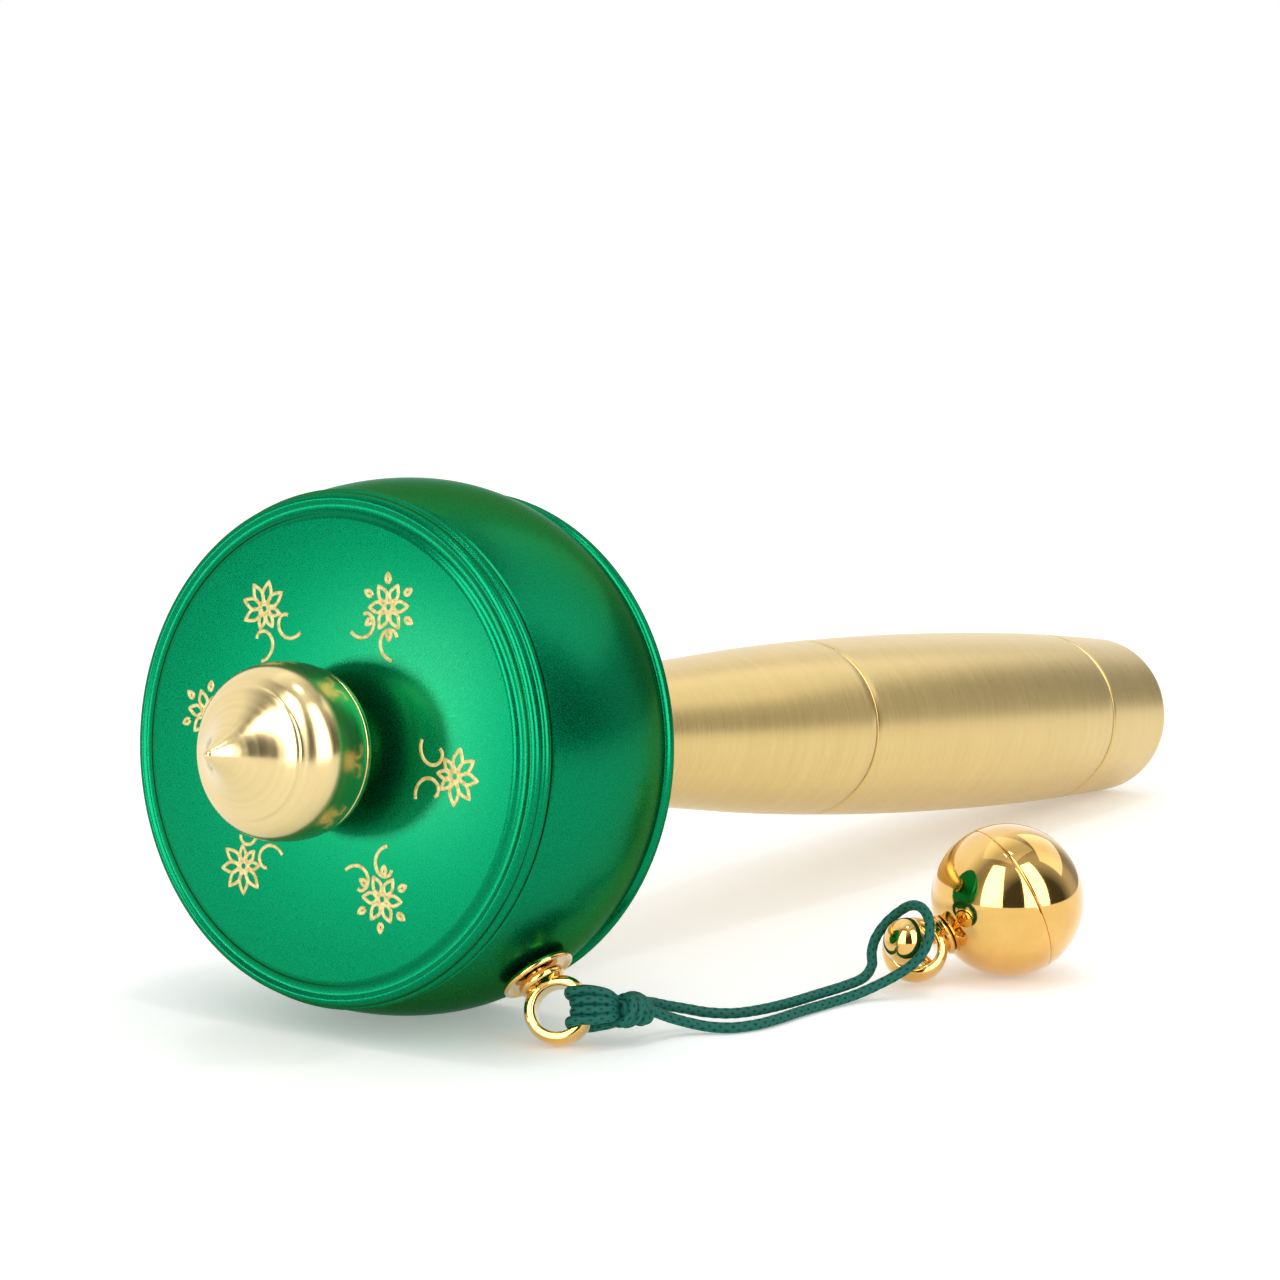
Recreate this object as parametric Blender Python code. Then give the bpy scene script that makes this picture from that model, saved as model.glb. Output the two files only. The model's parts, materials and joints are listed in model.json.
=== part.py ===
"""Hand prayer wheel with a swinging weight on a cord, lying on its side.

The drum turns on a steel spindle fixed in a turned handle. The spindle's axis is the local X axis
of the empty "spindle_axis", with x = 0 at the lid's face and x growing towards the butt.
"""
import bmesh
import bpy
from math import asin, atan, cos, pi, radians, sin, sqrt
from mathutils import Matrix, Vector

MM = 0.001

# Clearances
GAP = 0.3 * MM              # between pieces that face each other
RUNNING = 0.1 * MM          # between pieces that slide into each other
SEAT = 0.06 * MM            # radial play of a bearing in its seat

# Drum
BELLY_R = 30.0 * MM
LID_R = BELLY_R - 2.8 * MM  # centre of the lid's first bead
LID_BEAD = 0.65 * MM
RIM_R = BELLY_R - 2.4 * MM  # centre of the lid's second bead
RIM_BEAD = 0.72 * MM
LID_DEPTH = 2.8 * MM        # from the lid's face to the belly
LID_WALL = 2.0 * MM
GROOVE_R = LID_R - 0.9 * MM # fine groove round the lid's face
GROOVE_DEPTH = 0.4 * MM
BELLY_AT = 15.0 * MM        # where the belly is widest
BELLY_LENGTH = 20.0 * MM
BELLY_FALL_FRONT = 13.0     # fall of the radius per metre squared away from the widest place
BELLY_FALL_REAR = 23.5
BELLY_WALL = 1.6 * MM
SPIGOT_R = BELLY_R - 4 * MM # the lid and the base slip into the belly at this radius
SPIGOT_WALL = 1.3 * MM
SPIGOT_LENGTH = 2.6 * MM
BASE_BEAD = 0.85 * MM       # half the thickness of the base's rim
BASE_RIM_R = BELLY_R - 2.0 * MM
BASE_WALL = 1.8 * MM

# Spindle and bearings
SPINDLE_R = 2.5 * MM
SPINDLE_TIP = -12.0 * MM
SPINDLE_END = 52.0 * MM
BEARING_R = 6.5 * MM
BEARING_WIDTH = 4.0 * MM
BALL_R = 1.0 * MM
BALL_COUNT = 7
RACE_R = 4.5 * MM           # radius of the circle through the balls' centres
RACE_PLAY = 0.1 * MM
SHOULDER = 0.8 * MM         # from the ball circle to each ring's shoulder
HUB_WALL = 2.1 * MM
HOLE_R = 4.8 * MM           # hole in the lid and in the base, wider than the washers
WASHER_R = 3.7 * MM
FINIAL_LIFT = 1.0 * MM      # from the finial's foot to the lid's face

# Scroll
CORE_R = 9.8 * MM
CORE_WALL = 0.8 * MM
SCROLL_R = BELLY_R - 6.7 * MM
SCROLL_INSET = 0.8 * MM
TIE_THICKNESS = 0.6 * MM
TIE_WIDTH = 1.6 * MM

# Finial
FINIAL_R = 9.6 * MM
FINIAL_NECK_R = 5.2 * MM
FINIAL_FOOT = 1.6 * MM
FINIAL_LENGTH = 18.4 * MM   # from its foot to its tip
CONE_R = 6.9 * MM
CONE_LENGTH = 6.6 * MM
TIP_R = 0.55 * MM

# Handle
COLLAR_R = 8.2 * MM
COLLAR_LENGTH = 3.0 * MM
HANDLE_START = 26.7 * MM
HANDLE_END = 189.6 * MM
GRIP_R = 12.75 * MM         # where the handle is thickest
# Places along the spindle in mm, with the radius as a share of the grip's
HANDLE_SHAPE = (
    (26.7, 0.565), (45.0, 0.61), (62.0, 0.698), (74.0, 0.776), (83.0, 0.835), (93.0, 0.886),
    (103.0, 0.925), (113.0, 0.957), (124.0, 0.980), (135.0, 0.994), (147.0, 1.0),
    (160.0, 0.994), (170.0, 0.976), (180.0, 0.949), (189.6, 0.92),
)
HANDLE_LENGTH = HANDLE_END - HANDLE_START
FIRST_SEAM = HANDLE_START + 0.445 * HANDLE_LENGTH
SECOND_SEAM = HANDLE_START + 0.87 * HANDLE_LENGTH
SEAM = 0.15 * MM            # half the gap between two pieces of the handle
BUTT_R = 8.8 * MM           # flat of the butt
BUTT_ROUND = 2.8 * MM
STUD_R = 4.0 * MM
STUD_LENGTH = 12.0 * MM
GRIP_BORE_R = 7.6 * MM
GRIP_BORE_START = FIRST_SEAM + 7.0 * MM

# Eyelets, the same on the drum and on the weight
EYE_BORE_R = 2.5 * MM
EYE_R = 3.85 * MM
EYE_WIDTH = 3.0 * MM
EYE_REACH = 5.4 * MM        # from the belly to the middle of the eye
EYE_TIER_R = 2.7 * MM
FLANGE_R = 4.2 * MM
FLANGE_THICKNESS = 0.8 * MM
SCREW_R = 1.25 * MM
SCREW_DEPTH = 4.9 * MM      # from the belly to the screw's end
NUT_R = 2.7 * MM
NUT_THICKNESS = 1.6 * MM
EYE_AT = 13.2 * MM          # along the spindle
EYE_TURN = radians(138.4)    # round the spindle from the top, towards -Y
EYE_TWIST = radians(30)     # of the eye's bore away from the spindle's direction

# Weight
WEIGHT_R = 9.0 * MM
WEIGHT_WALL = 2.4 * MM
WEIGHT_LAP = 1.8 * MM       # how far the near half slips into the far half
WEIGHT_EYE_REACH = 4.0 * MM
WEIGHT_EYE_HEIGHT = 3.95 * MM
WEIGHT_TURN = radians(144.8)
WEIGHT_ROLL = radians(38)
WEIGHT_EYE_FROM_EYE = (46.51 * MM, -17.49 * MM)
WEIGHT_SEAM = 0.15 * MM     # half the gap between the two halves
WEIGHT_SCREW_DEPTH = 5.4 * MM

# Toggle: the small ball-headed stud that the cord is looped over
KNOB_R = 2.75 * MM
KNOB_REACH = 5.1 * MM
KNOB_TILT = radians(20)
NECK_R = 0.85 * MM
BAR_R = 0.65 * MM
BAR_LENGTH = 5.8 * MM
BAR_REACH = 3.7 * MM
BAR_TURN = radians(-40)     # of the bar away from level

# Cord: x and y from the middle of the drum's eye, z above the surface that the wheel lies on, in mm
CORD_R = 0.6 * MM
CORD_STEPS = 70
CORD_ROUTE = (
    (7.4, -7.4, 3.2), (9.6, -8.0, 2.2), (11.8, -9.1, 1.3), (13.3, -10.8, 0.8),
    (14.9, -12.7, 0.65), (17.6, -14.1, 0.65), (21.0, -14.7, 0.65), (25.5, -15.0, 0.65),
    (30.2, -15.6, 0.65), (34.2, -16.6, 0.9), (37.0, -18.0, 1.7), (38.8, -19.6, 2.8),
    (39.9, -21.2, 4.2), (40.5, -22.3, 6.0), (41.1, -22.5, 7.9), (42.0, -21.7, 9.3),
    (43.0, -20.2, 10.0), (43.9, -18.4, 9.8), (44.2, -16.8, 8.9), (43.6, -15.4, 7.5),
    (42.4, -14.7, 5.9), (40.9, -15.0, 4.5), (39.2, -16.0, 3.3), (36.8, -16.3, 2.4),
    (33.9, -15.5, 1.9), (29.8, -14.4, 1.6), (25.2, -13.7, 1.5), (20.9, -12.8, 1.5),
    (17.6, -11.2, 1.5), (15.2, -9.3, 1.8), (13.2, -7.6, 2.4), (10.9, -6.5, 3.1),
    (8.4, -5.8, 3.9),
)
KNOT_AT = (5.0, -6.0, 3.8)
KNOT_LENGTH = 4.4 * MM
KNOT_R = 2.1 * MM
HITCH_AT = radians(82)      # round the eye's bore from the drum's outward direction
HITCH_REACH = radians(27)   # half the arc of the eye that the hitch covers
HITCH_PLAY = 0.3 * MM
HITCH_WALL = 1.2 * MM

# Facets
DRUM_SIDES = 40
HANDLE_SIDES = 32
WEIGHT_SIDES = 32
SMALL_SIDES = 24


def material(name, colour, metallic, roughness):
    """A plain Principled material."""
    made = bpy.data.materials.new(name)
    made.use_nodes = True
    shader = made.node_tree.nodes["Principled BSDF"]
    shader.inputs["Base Color"].default_value = (*colour, 1.0)
    shader.inputs["Metallic"].default_value = metallic
    shader.inputs["Roughness"].default_value = roughness
    return made


def empty(name, parent=None, matrix=Matrix()):
    """An empty that carries pieces; its matrix is in its parent's space."""
    made = bpy.data.objects.new(name, None)
    bpy.context.collection.objects.link(made)
    made.parent = parent
    made.matrix_local = matrix
    return made


def piece(name, shape, parent, finish):
    """Turn a bmesh into a smooth-shaded object under its parent."""
    bmesh.ops.recalc_face_normals(shape, faces=shape.faces)
    mesh = bpy.data.meshes.new(name)
    shape.to_mesh(mesh)
    shape.free()
    mesh.materials.append(finish)
    mesh.shade_smooth()
    mesh.set_sharp_from_angle(angle=radians(35))
    made = bpy.data.objects.new(name, mesh)
    bpy.context.collection.objects.link(made)
    made.parent = parent
    return made


def turned_shape(profile, sides):
    """Spin (x, radius) points round the X axis, from the lowest side.

    A profile whose ends are on the axis is open there; any other profile closes on itself.
    """
    shape = bmesh.new()
    points = [shape.verts.new((x, 0, -r)) for x, r in profile]
    pairs = list(zip(points, points[1:]))
    if profile[0][1] > 0:
        pairs.append((points[-1], points[0]))
    edges = [shape.edges.new(pair) for pair in pairs]
    bmesh.ops.spin(shape, geom=points + edges, cent=(0, 0, 0), axis=(1, 0, 0),
                   angle=2 * pi, steps=sides, use_merge=True)
    bmesh.ops.remove_doubles(shape, verts=shape.verts, dist=1e-7)
    return shape


def turned(name, profile, parent, finish, sides=SMALL_SIDES):
    """A piece turned round its parent's X axis."""
    return piece(name, turned_shape(profile, sides), parent, finish)


def arc(x, r, size, first, last, steps):
    """Profile points on a circle of the given size; 0 degrees points outwards, 90 towards the lid."""
    turns = [radians(first + (last - first) * i / steps) for i in range(steps + 1)]
    return [(x - size * sin(turn), r + size * cos(turn)) for turn in turns]


# ---------------------------------------------------------------- places along the spindle
SHELL_START = LID_DEPTH + GAP
SHELL_END = SHELL_START + BELLY_LENGTH
BASE_START = SHELL_END + GAP
BASE_END = BASE_START + 2 * BASE_BEAD
LOWER_BEARING = BASE_END - BASE_WALL - BEARING_WIDTH - RUNNING
UPPER_BEARING = LID_WALL + RUNNING
LID_INSIDE = LID_WALL
BASE_INSIDE = BASE_END - BASE_WALL


def belly_radius(x):
    """Outer radius of the drum's belly."""
    fall = BELLY_FALL_FRONT if x < BELLY_AT else BELLY_FALL_REAR
    return BELLY_R - fall * (x - BELLY_AT) ** 2


def smooth(points, x):
    """Read y from (x, y) points joined by a smooth curve."""
    last = len(points) - 1
    i = max(k for k in range(last) if points[k][0] <= x or k == 0)
    before, after = max(i - 1, 0), min(i + 2, last)
    (x0, y0), (x1, y1) = points[i], points[i + 1]
    start = (y1 - points[before][1]) / (x1 - points[before][0])
    end = (points[after][1] - y0) / (points[after][0] - x0)
    t = (x - x0) / (x1 - x0)
    width = x1 - x0
    return (y0 * (2 * t ** 3 - 3 * t ** 2 + 1) + y1 * (3 * t ** 2 - 2 * t ** 3)
            + start * width * (t ** 3 - 2 * t ** 2 + t) + end * width * (t ** 3 - t ** 2))


def handle_radius(x):
    """Outer radius of the handle at a place along the spindle."""
    share = (x - HANDLE_START) / HANDLE_LENGTH
    place = HANDLE_SHAPE[0][0] + share * (HANDLE_SHAPE[-1][0] - HANDLE_SHAPE[0][0])
    return GRIP_R * smooth(HANDLE_SHAPE, place)


def handle_profile(start, end, step=7 * MM):
    """Points of the handle's outer profile between two places."""
    count = max(2, round((end - start) / step))
    places = [start + (end - start) * i / count for i in range(count + 1)]
    return [(x, handle_radius(x)) for x in places]


def butt_profile():
    """The butt cap's outer profile, from the second seam over the rounded edge to the flat."""
    last = HANDLE_END - BUTT_ROUND
    points = handle_profile(SECOND_SEAM + SEAM, last, 4 * MM)
    edge = points[-1][1]
    for i in range(1, 6):
        turn = radians(90 * i / 5)
        points.append((last + BUTT_ROUND * sin(turn), BUTT_R + (edge - BUTT_R) * cos(turn)))
    return points


def belly_profile():
    """Points of the belly's outer profile, from the lid to the base."""
    count = 10
    places = [SHELL_START + BELLY_LENGTH * i / count for i in range(count + 1)]
    return [(x, belly_radius(x)) for x in places]


def lying_tilt():
    """Tilt of the spindle when the belly and the butt both rest on the surface."""
    low, high = 0.0, 0.4
    for _ in range(50):
        slope = (low + high) / 2
        belly = max(r + x * slope for x, r in belly_profile())
        butt = max(r + x * slope for x, r in butt_profile())
        low, high = (slope, high) if belly > butt else (low, slope)
    return atan(low)


def frame_matrix(origin, outward, across):
    """A frame with X outwards and Z along the other direction."""
    x = Vector(outward).normalized()
    z = Vector(across).normalized()
    y = z.cross(x)
    matrix = Matrix((x, y, z)).transposed().to_4x4()
    matrix.translation = origin
    return matrix


def smooth_route(points, count):
    """Evenly spaced points on a smooth curve through the given points."""
    points = [Vector(p) for p in points]
    points = [2 * points[0] - points[1]] + points + [2 * points[-1] - points[-2]]
    dense = []
    for a, b, c, d in zip(points, points[1:], points[2:], points[3:]):
        for i in range(20):
            t = i / 20
            dense.append(0.5 * (2 * b + (c - a) * t + (2 * a - 5 * b + 4 * c - d) * t ** 2
                                + (3 * b - 3 * c + d - a) * t ** 3))
    dense.append(points[-2])
    travelled = [0.0]
    for a, b in zip(dense, dense[1:]):
        travelled.append(travelled[-1] + (b - a).length)
    even = []
    for i in range(count + 1):
        target = travelled[-1] * i / count
        k = max(j for j in range(len(travelled) - 1) if travelled[j] <= target + 1e-12)
        share = (target - travelled[k]) / (travelled[k + 1] - travelled[k])
        even.append(dense[k].lerp(dense[k + 1], min(share, 1.0)))
    return even


def joined(name, first, others):
    """Join overlapping pieces into one closed solid, keeping the first one's name."""
    for i, other in enumerate(others):
        union = first.modifiers.new("Join %d" % (i + 1), "BOOLEAN")
        union.operation = "UNION"
        union.solver = "EXACT"
        union.object = other
        other.hide_render = True
        other.display_type = "WIRE"
        other.name = name + "_cutter_%d" % (i + 1)
    return first


# ---------------------------------------------------------------- start from an empty scene
for old in list(bpy.data.objects):
    bpy.data.objects.remove(old, do_unlink=True)

GREEN = material("Green anodised aluminium", (0.0, 0.27, 0.10), 1.0, 0.32)
GOLD = material("Brushed gold anodised aluminium", (0.72, 0.56, 0.19), 1.0, 0.35)
POLISHED = material("Polished brass", (0.80, 0.42, 0.06), 1.0, 0.12)
STEEL = material("Bearing steel", (0.55, 0.55, 0.56), 1.0, 0.25)
PAPER = material("Rolled paper", (0.80, 0.74, 0.60), 0.0, 0.85)
CARD = material("Card core", (0.42, 0.30, 0.18), 0.0, 0.9)
RIBBON = material("Red ribbon", (0.45, 0.03, 0.03), 0.0, 0.7)
CORD = material("Green braided cord", (0.003, 0.10, 0.08), 0.0, 0.8)

resting = empty("resting_place")
spindle_axis = empty("spindle_axis", resting, Matrix.Rotation(lying_tilt(), 4, "Y"))

# ---------------------------------------------------------------- spindle, bearings and washers
turned("spindle", [(SPINDLE_TIP, 0), (SPINDLE_TIP, SPINDLE_R), (SPINDLE_END, SPINDLE_R),
                   (SPINDLE_END, 0)], spindle_axis, STEEL)
SLIP_R = SPINDLE_R + SEAT


def bearing(name, start):
    """Inner ring, outer ring and the set of balls in their cage."""
    middle = start + BEARING_WIDTH / 2
    end = start + BEARING_WIDTH
    groove = BALL_R + RACE_PLAY
    half = asin(sqrt(1 - (SHOULDER / groove) ** 2)) * 180 / pi
    inner_groove = arc(middle, RACE_R, groove, 180 - half, 180 + half, 4)
    outer_groove = arc(middle, RACE_R, groove, -half, half, 4)
    turned(name + "_inner", [(start, SLIP_R), (end, SLIP_R), (end, RACE_R - SHOULDER)]
           + inner_groove[::-1] + [(start, RACE_R - SHOULDER)], spindle_axis, STEEL)
    turned(name + "_outer", [(start, RACE_R + SHOULDER), (start, BEARING_R), (end, BEARING_R),
                             (end, RACE_R + SHOULDER)] + outer_groove, spindle_axis, STEEL)
    cage = turned(name + "_cage", [(middle - 1.2 * MM, RACE_R - 0.35 * MM),
                                   (middle - 1.2 * MM, RACE_R + 0.35 * MM),
                                   (middle + 1.2 * MM, RACE_R + 0.35 * MM),
                                   (middle + 1.2 * MM, RACE_R - 0.35 * MM)], spindle_axis, STEEL)
    balls = bmesh.new()
    for i in range(BALL_COUNT):
        turn = Matrix.Rotation(2 * pi * i / BALL_COUNT, 4, "X")
        place = turn @ Matrix.Translation((middle, 0, RACE_R)) @ Matrix.Rotation(pi / 2, 4, "Y")
        bmesh.ops.create_uvsphere(balls, u_segments=8, v_segments=6, radius=BALL_R, matrix=place)
    return joined(name + "_cage", cage, [piece(name + "_balls", balls, spindle_axis, STEEL)])


bearing("upper_bearing", UPPER_BEARING)
bearing("lower_bearing", LOWER_BEARING)
UPPER_END = UPPER_BEARING + BEARING_WIDTH
LOWER_END = LOWER_BEARING + BEARING_WIDTH
turned("top_washer", [(RUNNING - FINIAL_LIFT, SLIP_R), (RUNNING - FINIAL_LIFT, WASHER_R),
                      (UPPER_BEARING - RUNNING, WASHER_R), (UPPER_BEARING - RUNNING, SLIP_R)],
       spindle_axis, STEEL)
turned("bearing_spacer", [(UPPER_END + RUNNING, SLIP_R), (UPPER_END + RUNNING, WASHER_R),
                          (LOWER_BEARING - RUNNING, WASHER_R), (LOWER_BEARING - RUNNING, SLIP_R)],
       spindle_axis, STEEL)
turned("thrust_washer", [(LOWER_END + RUNNING, SLIP_R), (LOWER_END + RUNNING, WASHER_R),
                         (HANDLE_START - RUNNING, WASHER_R), (HANDLE_START - RUNNING, SLIP_R)],
       spindle_axis, STEEL)

# ---------------------------------------------------------------- finial
FOOT = -FINIAL_LIFT
TIP = FOOT - FINIAL_LENGTH
CONE_START = TIP + CONE_LENGTH
bulb = [(CONE_START, CONE_R), (CONE_START + 0.2 * MM, CONE_R + 0.35 * MM)]
BULB_TOP = CONE_START + 0.2 * MM
BULB_AT = FOOT - 7.0 * MM
for i in range(1, 6):
    turn = radians(90 * i / 5)
    bulb.append((BULB_TOP + (BULB_AT - BULB_TOP) * sin(turn),
                 CONE_R + 0.35 * MM + (FINIAL_R - CONE_R - 0.35 * MM) * (1 - (1 - sin(turn)) ** 1.6)))
cone = [(TIP, 0), (TIP + 0.12 * MM, TIP_R * 0.6), (TIP + 0.45 * MM, TIP_R)]
for i in range(1, 6):
    share = i / 6
    cone.append((TIP + 0.45 * MM + (CONE_LENGTH - 0.45 * MM) * share,
                 TIP_R + (CONE_R - TIP_R) * (0.62 * share + 0.38 * share ** 2.6)))
foot_ring = [(FOOT - 4.6 * MM, FINIAL_R - 0.05 * MM), (FOOT - 3.75 * MM, FINIAL_R - 0.45 * MM),
             (FOOT - 3.5 * MM, FINIAL_R - 0.85 * MM), (FOOT - 3.25 * MM, FINIAL_R - 0.35 * MM),
             (FOOT - 2.5 * MM, FINIAL_R - 0.4 * MM), (FOOT - 2.1 * MM, FINIAL_R - 1.2 * MM)]
turned("finial", cone + bulb + foot_ring
       + [(FOOT - FINIAL_FOOT, FINIAL_NECK_R), (FOOT, FINIAL_NECK_R), (FOOT, SLIP_R),
          (SPINDLE_TIP - GAP, SLIP_R), (SPINDLE_TIP - GAP, 0)], spindle_axis, GOLD, HANDLE_SIDES)

# ---------------------------------------------------------------- handle
COLLAR_END = HANDLE_START + COLLAR_LENGTH
FORE_START = COLLAR_END + RUNNING
turned("handle_collar", [(HANDLE_START, SLIP_R), (HANDLE_START, COLLAR_R - 0.5 * MM),
                         (HANDLE_START + 0.5 * MM, COLLAR_R), (COLLAR_END - 0.5 * MM, COLLAR_R),
                         (COLLAR_END, COLLAR_R - 0.5 * MM), (COLLAR_END, SLIP_R)],
       spindle_axis, POLISHED, HANDLE_SIDES)
STUD_BORE_R = STUD_R + RUNNING
turned("handle_fore", handle_profile(FORE_START, FIRST_SEAM - SEAM)
       + [(FIRST_SEAM - SEAM, STUD_BORE_R), (SPINDLE_END + GAP, STUD_BORE_R),
          (SPINDLE_END + GAP, SLIP_R), (FORE_START, SLIP_R)], spindle_axis, GOLD, HANDLE_SIDES)
turned("handle_grip", [(FIRST_SEAM - STUD_LENGTH, 0), (FIRST_SEAM - STUD_LENGTH, STUD_R),
                       (FIRST_SEAM + SEAM, STUD_R)]
       + handle_profile(FIRST_SEAM + SEAM, SECOND_SEAM - SEAM)
       + [(SECOND_SEAM - SEAM, GRIP_BORE_R), (GRIP_BORE_START, GRIP_BORE_R), (GRIP_BORE_START, 0)],
       spindle_axis, GOLD, HANDLE_SIDES)
turned("handle_butt_cap", [(SECOND_SEAM - STUD_LENGTH, 0),
                           (SECOND_SEAM - STUD_LENGTH, GRIP_BORE_R - RUNNING),
                           (SECOND_SEAM + SEAM, GRIP_BORE_R - RUNNING)]
       + butt_profile() + [(HANDLE_END, 0)], spindle_axis, GOLD, HANDLE_SIDES)

# ---------------------------------------------------------------- drum
SEAT_R = BEARING_R + SEAT
HUB_R = BEARING_R + HUB_WALL
HUB_REACH = BEARING_WIDTH + 0.5 * MM
SPIGOT_INSIDE = SPIGOT_R - SPIGOT_WALL
LID_SPIGOT_END = LID_DEPTH + SPIGOT_LENGTH
turned("drum_lid", [(0, HOLE_R), (0, GROOVE_R - 0.4 * MM), (GROOVE_DEPTH, GROOVE_R)]
       + arc(LID_BEAD + 0.3 * MM, LID_R, LID_BEAD, 120, -20, 4)
       + arc(LID_DEPTH - RIM_BEAD - 0.08 * MM, RIM_R, RIM_BEAD, 60, -80, 4)
       + [(LID_DEPTH, RIM_R + 0.1 * MM), (LID_DEPTH, SPIGOT_R), (LID_SPIGOT_END, SPIGOT_R),
          (LID_SPIGOT_END, SPIGOT_INSIDE), (LID_INSIDE, SPIGOT_INSIDE), (LID_INSIDE, HUB_R),
          (LID_INSIDE + HUB_REACH, HUB_R), (LID_INSIDE + HUB_REACH, SEAT_R), (LID_INSIDE, SEAT_R),
          (LID_INSIDE, HOLE_R)], spindle_axis, GREEN, DRUM_SIDES)
BASE_SPIGOT_START = BASE_START - SPIGOT_LENGTH
turned("drum_base", [(BASE_END, HOLE_R), (BASE_END, BASE_RIM_R - BASE_BEAD)]
       + arc(BASE_START + BASE_BEAD, BASE_RIM_R, BASE_BEAD, -90, 90, 6)
       + [(BASE_START, SPIGOT_R), (BASE_SPIGOT_START, SPIGOT_R), (BASE_SPIGOT_START, SPIGOT_INSIDE),
          (BASE_INSIDE, SPIGOT_INSIDE), (BASE_INSIDE, HUB_R), (BASE_INSIDE - HUB_REACH, HUB_R),
          (BASE_INSIDE - HUB_REACH, SEAT_R), (BASE_INSIDE, SEAT_R), (BASE_INSIDE, HOLE_R)],
       spindle_axis, GREEN, DRUM_SIDES)
BORE_R = SPIGOT_R + RUNNING
BORE_END = LID_SPIGOT_END + GAP
REAR_BORE = BASE_SPIGOT_START - GAP
inside = [(x, r - BELLY_WALL) for x, r in belly_profile()[2:-1:2]]
shell = turned("drum_shell", belly_profile() + [(SHELL_END, BORE_R), (REAR_BORE, BORE_R)]
               + inside[::-1] + [(BORE_END, BORE_R), (SHELL_START, BORE_R)],
               spindle_axis, GREEN, DRUM_SIDES)

# ---------------------------------------------------------------- scroll inside the drum
CORE_START = LID_INSIDE + GAP
CORE_END = BASE_INSIDE - GAP
turned("scroll_core", [(CORE_START, CORE_R - CORE_WALL), (CORE_START, CORE_R), (CORE_END, CORE_R),
                       (CORE_END, CORE_R - CORE_WALL)], spindle_axis, CARD, DRUM_SIDES)
SCROLL_START = CORE_START + SCROLL_INSET
SCROLL_END = CORE_END - SCROLL_INSET
turned("prayer_scroll", [(SCROLL_START, CORE_R + GAP), (SCROLL_START, SCROLL_R),
                         (SCROLL_END, SCROLL_R), (SCROLL_END, CORE_R + GAP)],
       spindle_axis, PAPER, DRUM_SIDES)
TIE_R = SCROLL_R + RUNNING
for number, share in ((1, 0.3), (2, 0.7)):
    middle = SCROLL_START + (SCROLL_END - SCROLL_START) * share
    turned("scroll_tie_%d" % number,
           [(middle - TIE_WIDTH / 2, TIE_R), (middle - TIE_WIDTH / 2, TIE_R + TIE_THICKNESS),
            (middle + TIE_WIDTH / 2, TIE_R + TIE_THICKNESS), (middle + TIE_WIDTH / 2, TIE_R)],
           spindle_axis, RIBBON, DRUM_SIDES)

# ---------------------------------------------------------------- drum's eyelet
out = Vector((0, -sin(EYE_TURN), cos(EYE_TURN)))
along = Vector((1, 0, 0))
twist = -cos(EYE_TWIST) * along + sin(EYE_TWIST) * out.cross(along)
drum_eyelet = empty("drum_eyelet", spindle_axis,
                    frame_matrix(along * EYE_AT + out * belly_radius(EYE_AT), out, twist))
SCREW_HOLE_R = SCREW_R + RUNNING


def hole(target, radius, start, end, parent):
    """Cut a round hole along the parent's X axis."""
    cutter = turned(target.name + "_hole", [(start, 0), (start, radius), (end, radius), (end, 0)],
                    parent, STEEL)
    cut = target.modifiers.new("Hole", "BOOLEAN")
    cut.operation = "DIFFERENCE"
    cut.solver = "EXACT"
    cut.object = cutter
    cutter.hide_render = True
    cutter.display_type = "WIRE"


def eye(name, parent, reach, stem):
    """A D-shaped eye standing on its stem and screw, as one solid."""
    band = []
    middle = (EYE_BORE_R + EYE_R) / 2
    half = (EYE_R - EYE_BORE_R) / 2
    for i in range(7):
        turn = radians(180 * i / 6)
        band.append((EYE_WIDTH / 2 * cos(turn), middle + half * sin(turn)))
    band += [(-EYE_WIDTH / 2 + 0.3 * MM, EYE_BORE_R), (EYE_WIDTH / 2 - 0.3 * MM, EYE_BORE_R)]
    shape = turned_shape(band, 28)
    bmesh.ops.transform(shape, verts=shape.verts,
                        matrix=Matrix.Translation((reach, 0, 0)) @ Matrix.Rotation(-pi / 2, 4, "Y"))
    ring = piece(name, shape, parent, POLISHED)
    return joined(name, ring, [turned(name + "_stem", stem, parent, POLISHED)])


def nut(name, inner_face, parent):
    """A six-sided nut on the eye's screw, with its outer face at the given place."""
    low = inner_face - NUT_THICKNESS
    shape = turned_shape([(low, 0), (low, NUT_R), (inner_face, NUT_R), (inner_face, 0)], 6)
    made = piece(name, shape, parent, STEEL)
    hole(made, SCREW_HOLE_R, low - 1 * MM, inner_face + 1 * MM, parent)
    return made


hole(shell, SCREW_HOLE_R, -4 * MM, 2 * MM, drum_eyelet)
RIM = FLANGE_THICKNESS + GAP
turned("eyelet_flange", [(GAP, SCREW_HOLE_R), (GAP, FLANGE_R - 0.25 * MM), (GAP + 0.2 * MM, FLANGE_R),
                         (RIM - 0.2 * MM, FLANGE_R), (RIM, FLANGE_R - 0.25 * MM),
                         (RIM, FLANGE_R - 0.55 * MM), (RIM - 0.3 * MM, FLANGE_R - 0.9 * MM),
                         (RIM - 0.3 * MM, SCREW_HOLE_R)], drum_eyelet, POLISHED, 28)
eye("drum_eye", drum_eyelet, EYE_REACH,
    [(-SCREW_DEPTH, 0), (-SCREW_DEPTH, SCREW_R), (RIM, SCREW_R), (RIM, EYE_TIER_R - 0.15 * MM),
     (RIM + 0.15 * MM, EYE_TIER_R), (RIM + 0.75 * MM, EYE_TIER_R), (RIM + 1.25 * MM, EYE_TIER_R - 0.7 * MM),
     (RIM + 1.35 * MM, 0)])
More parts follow.
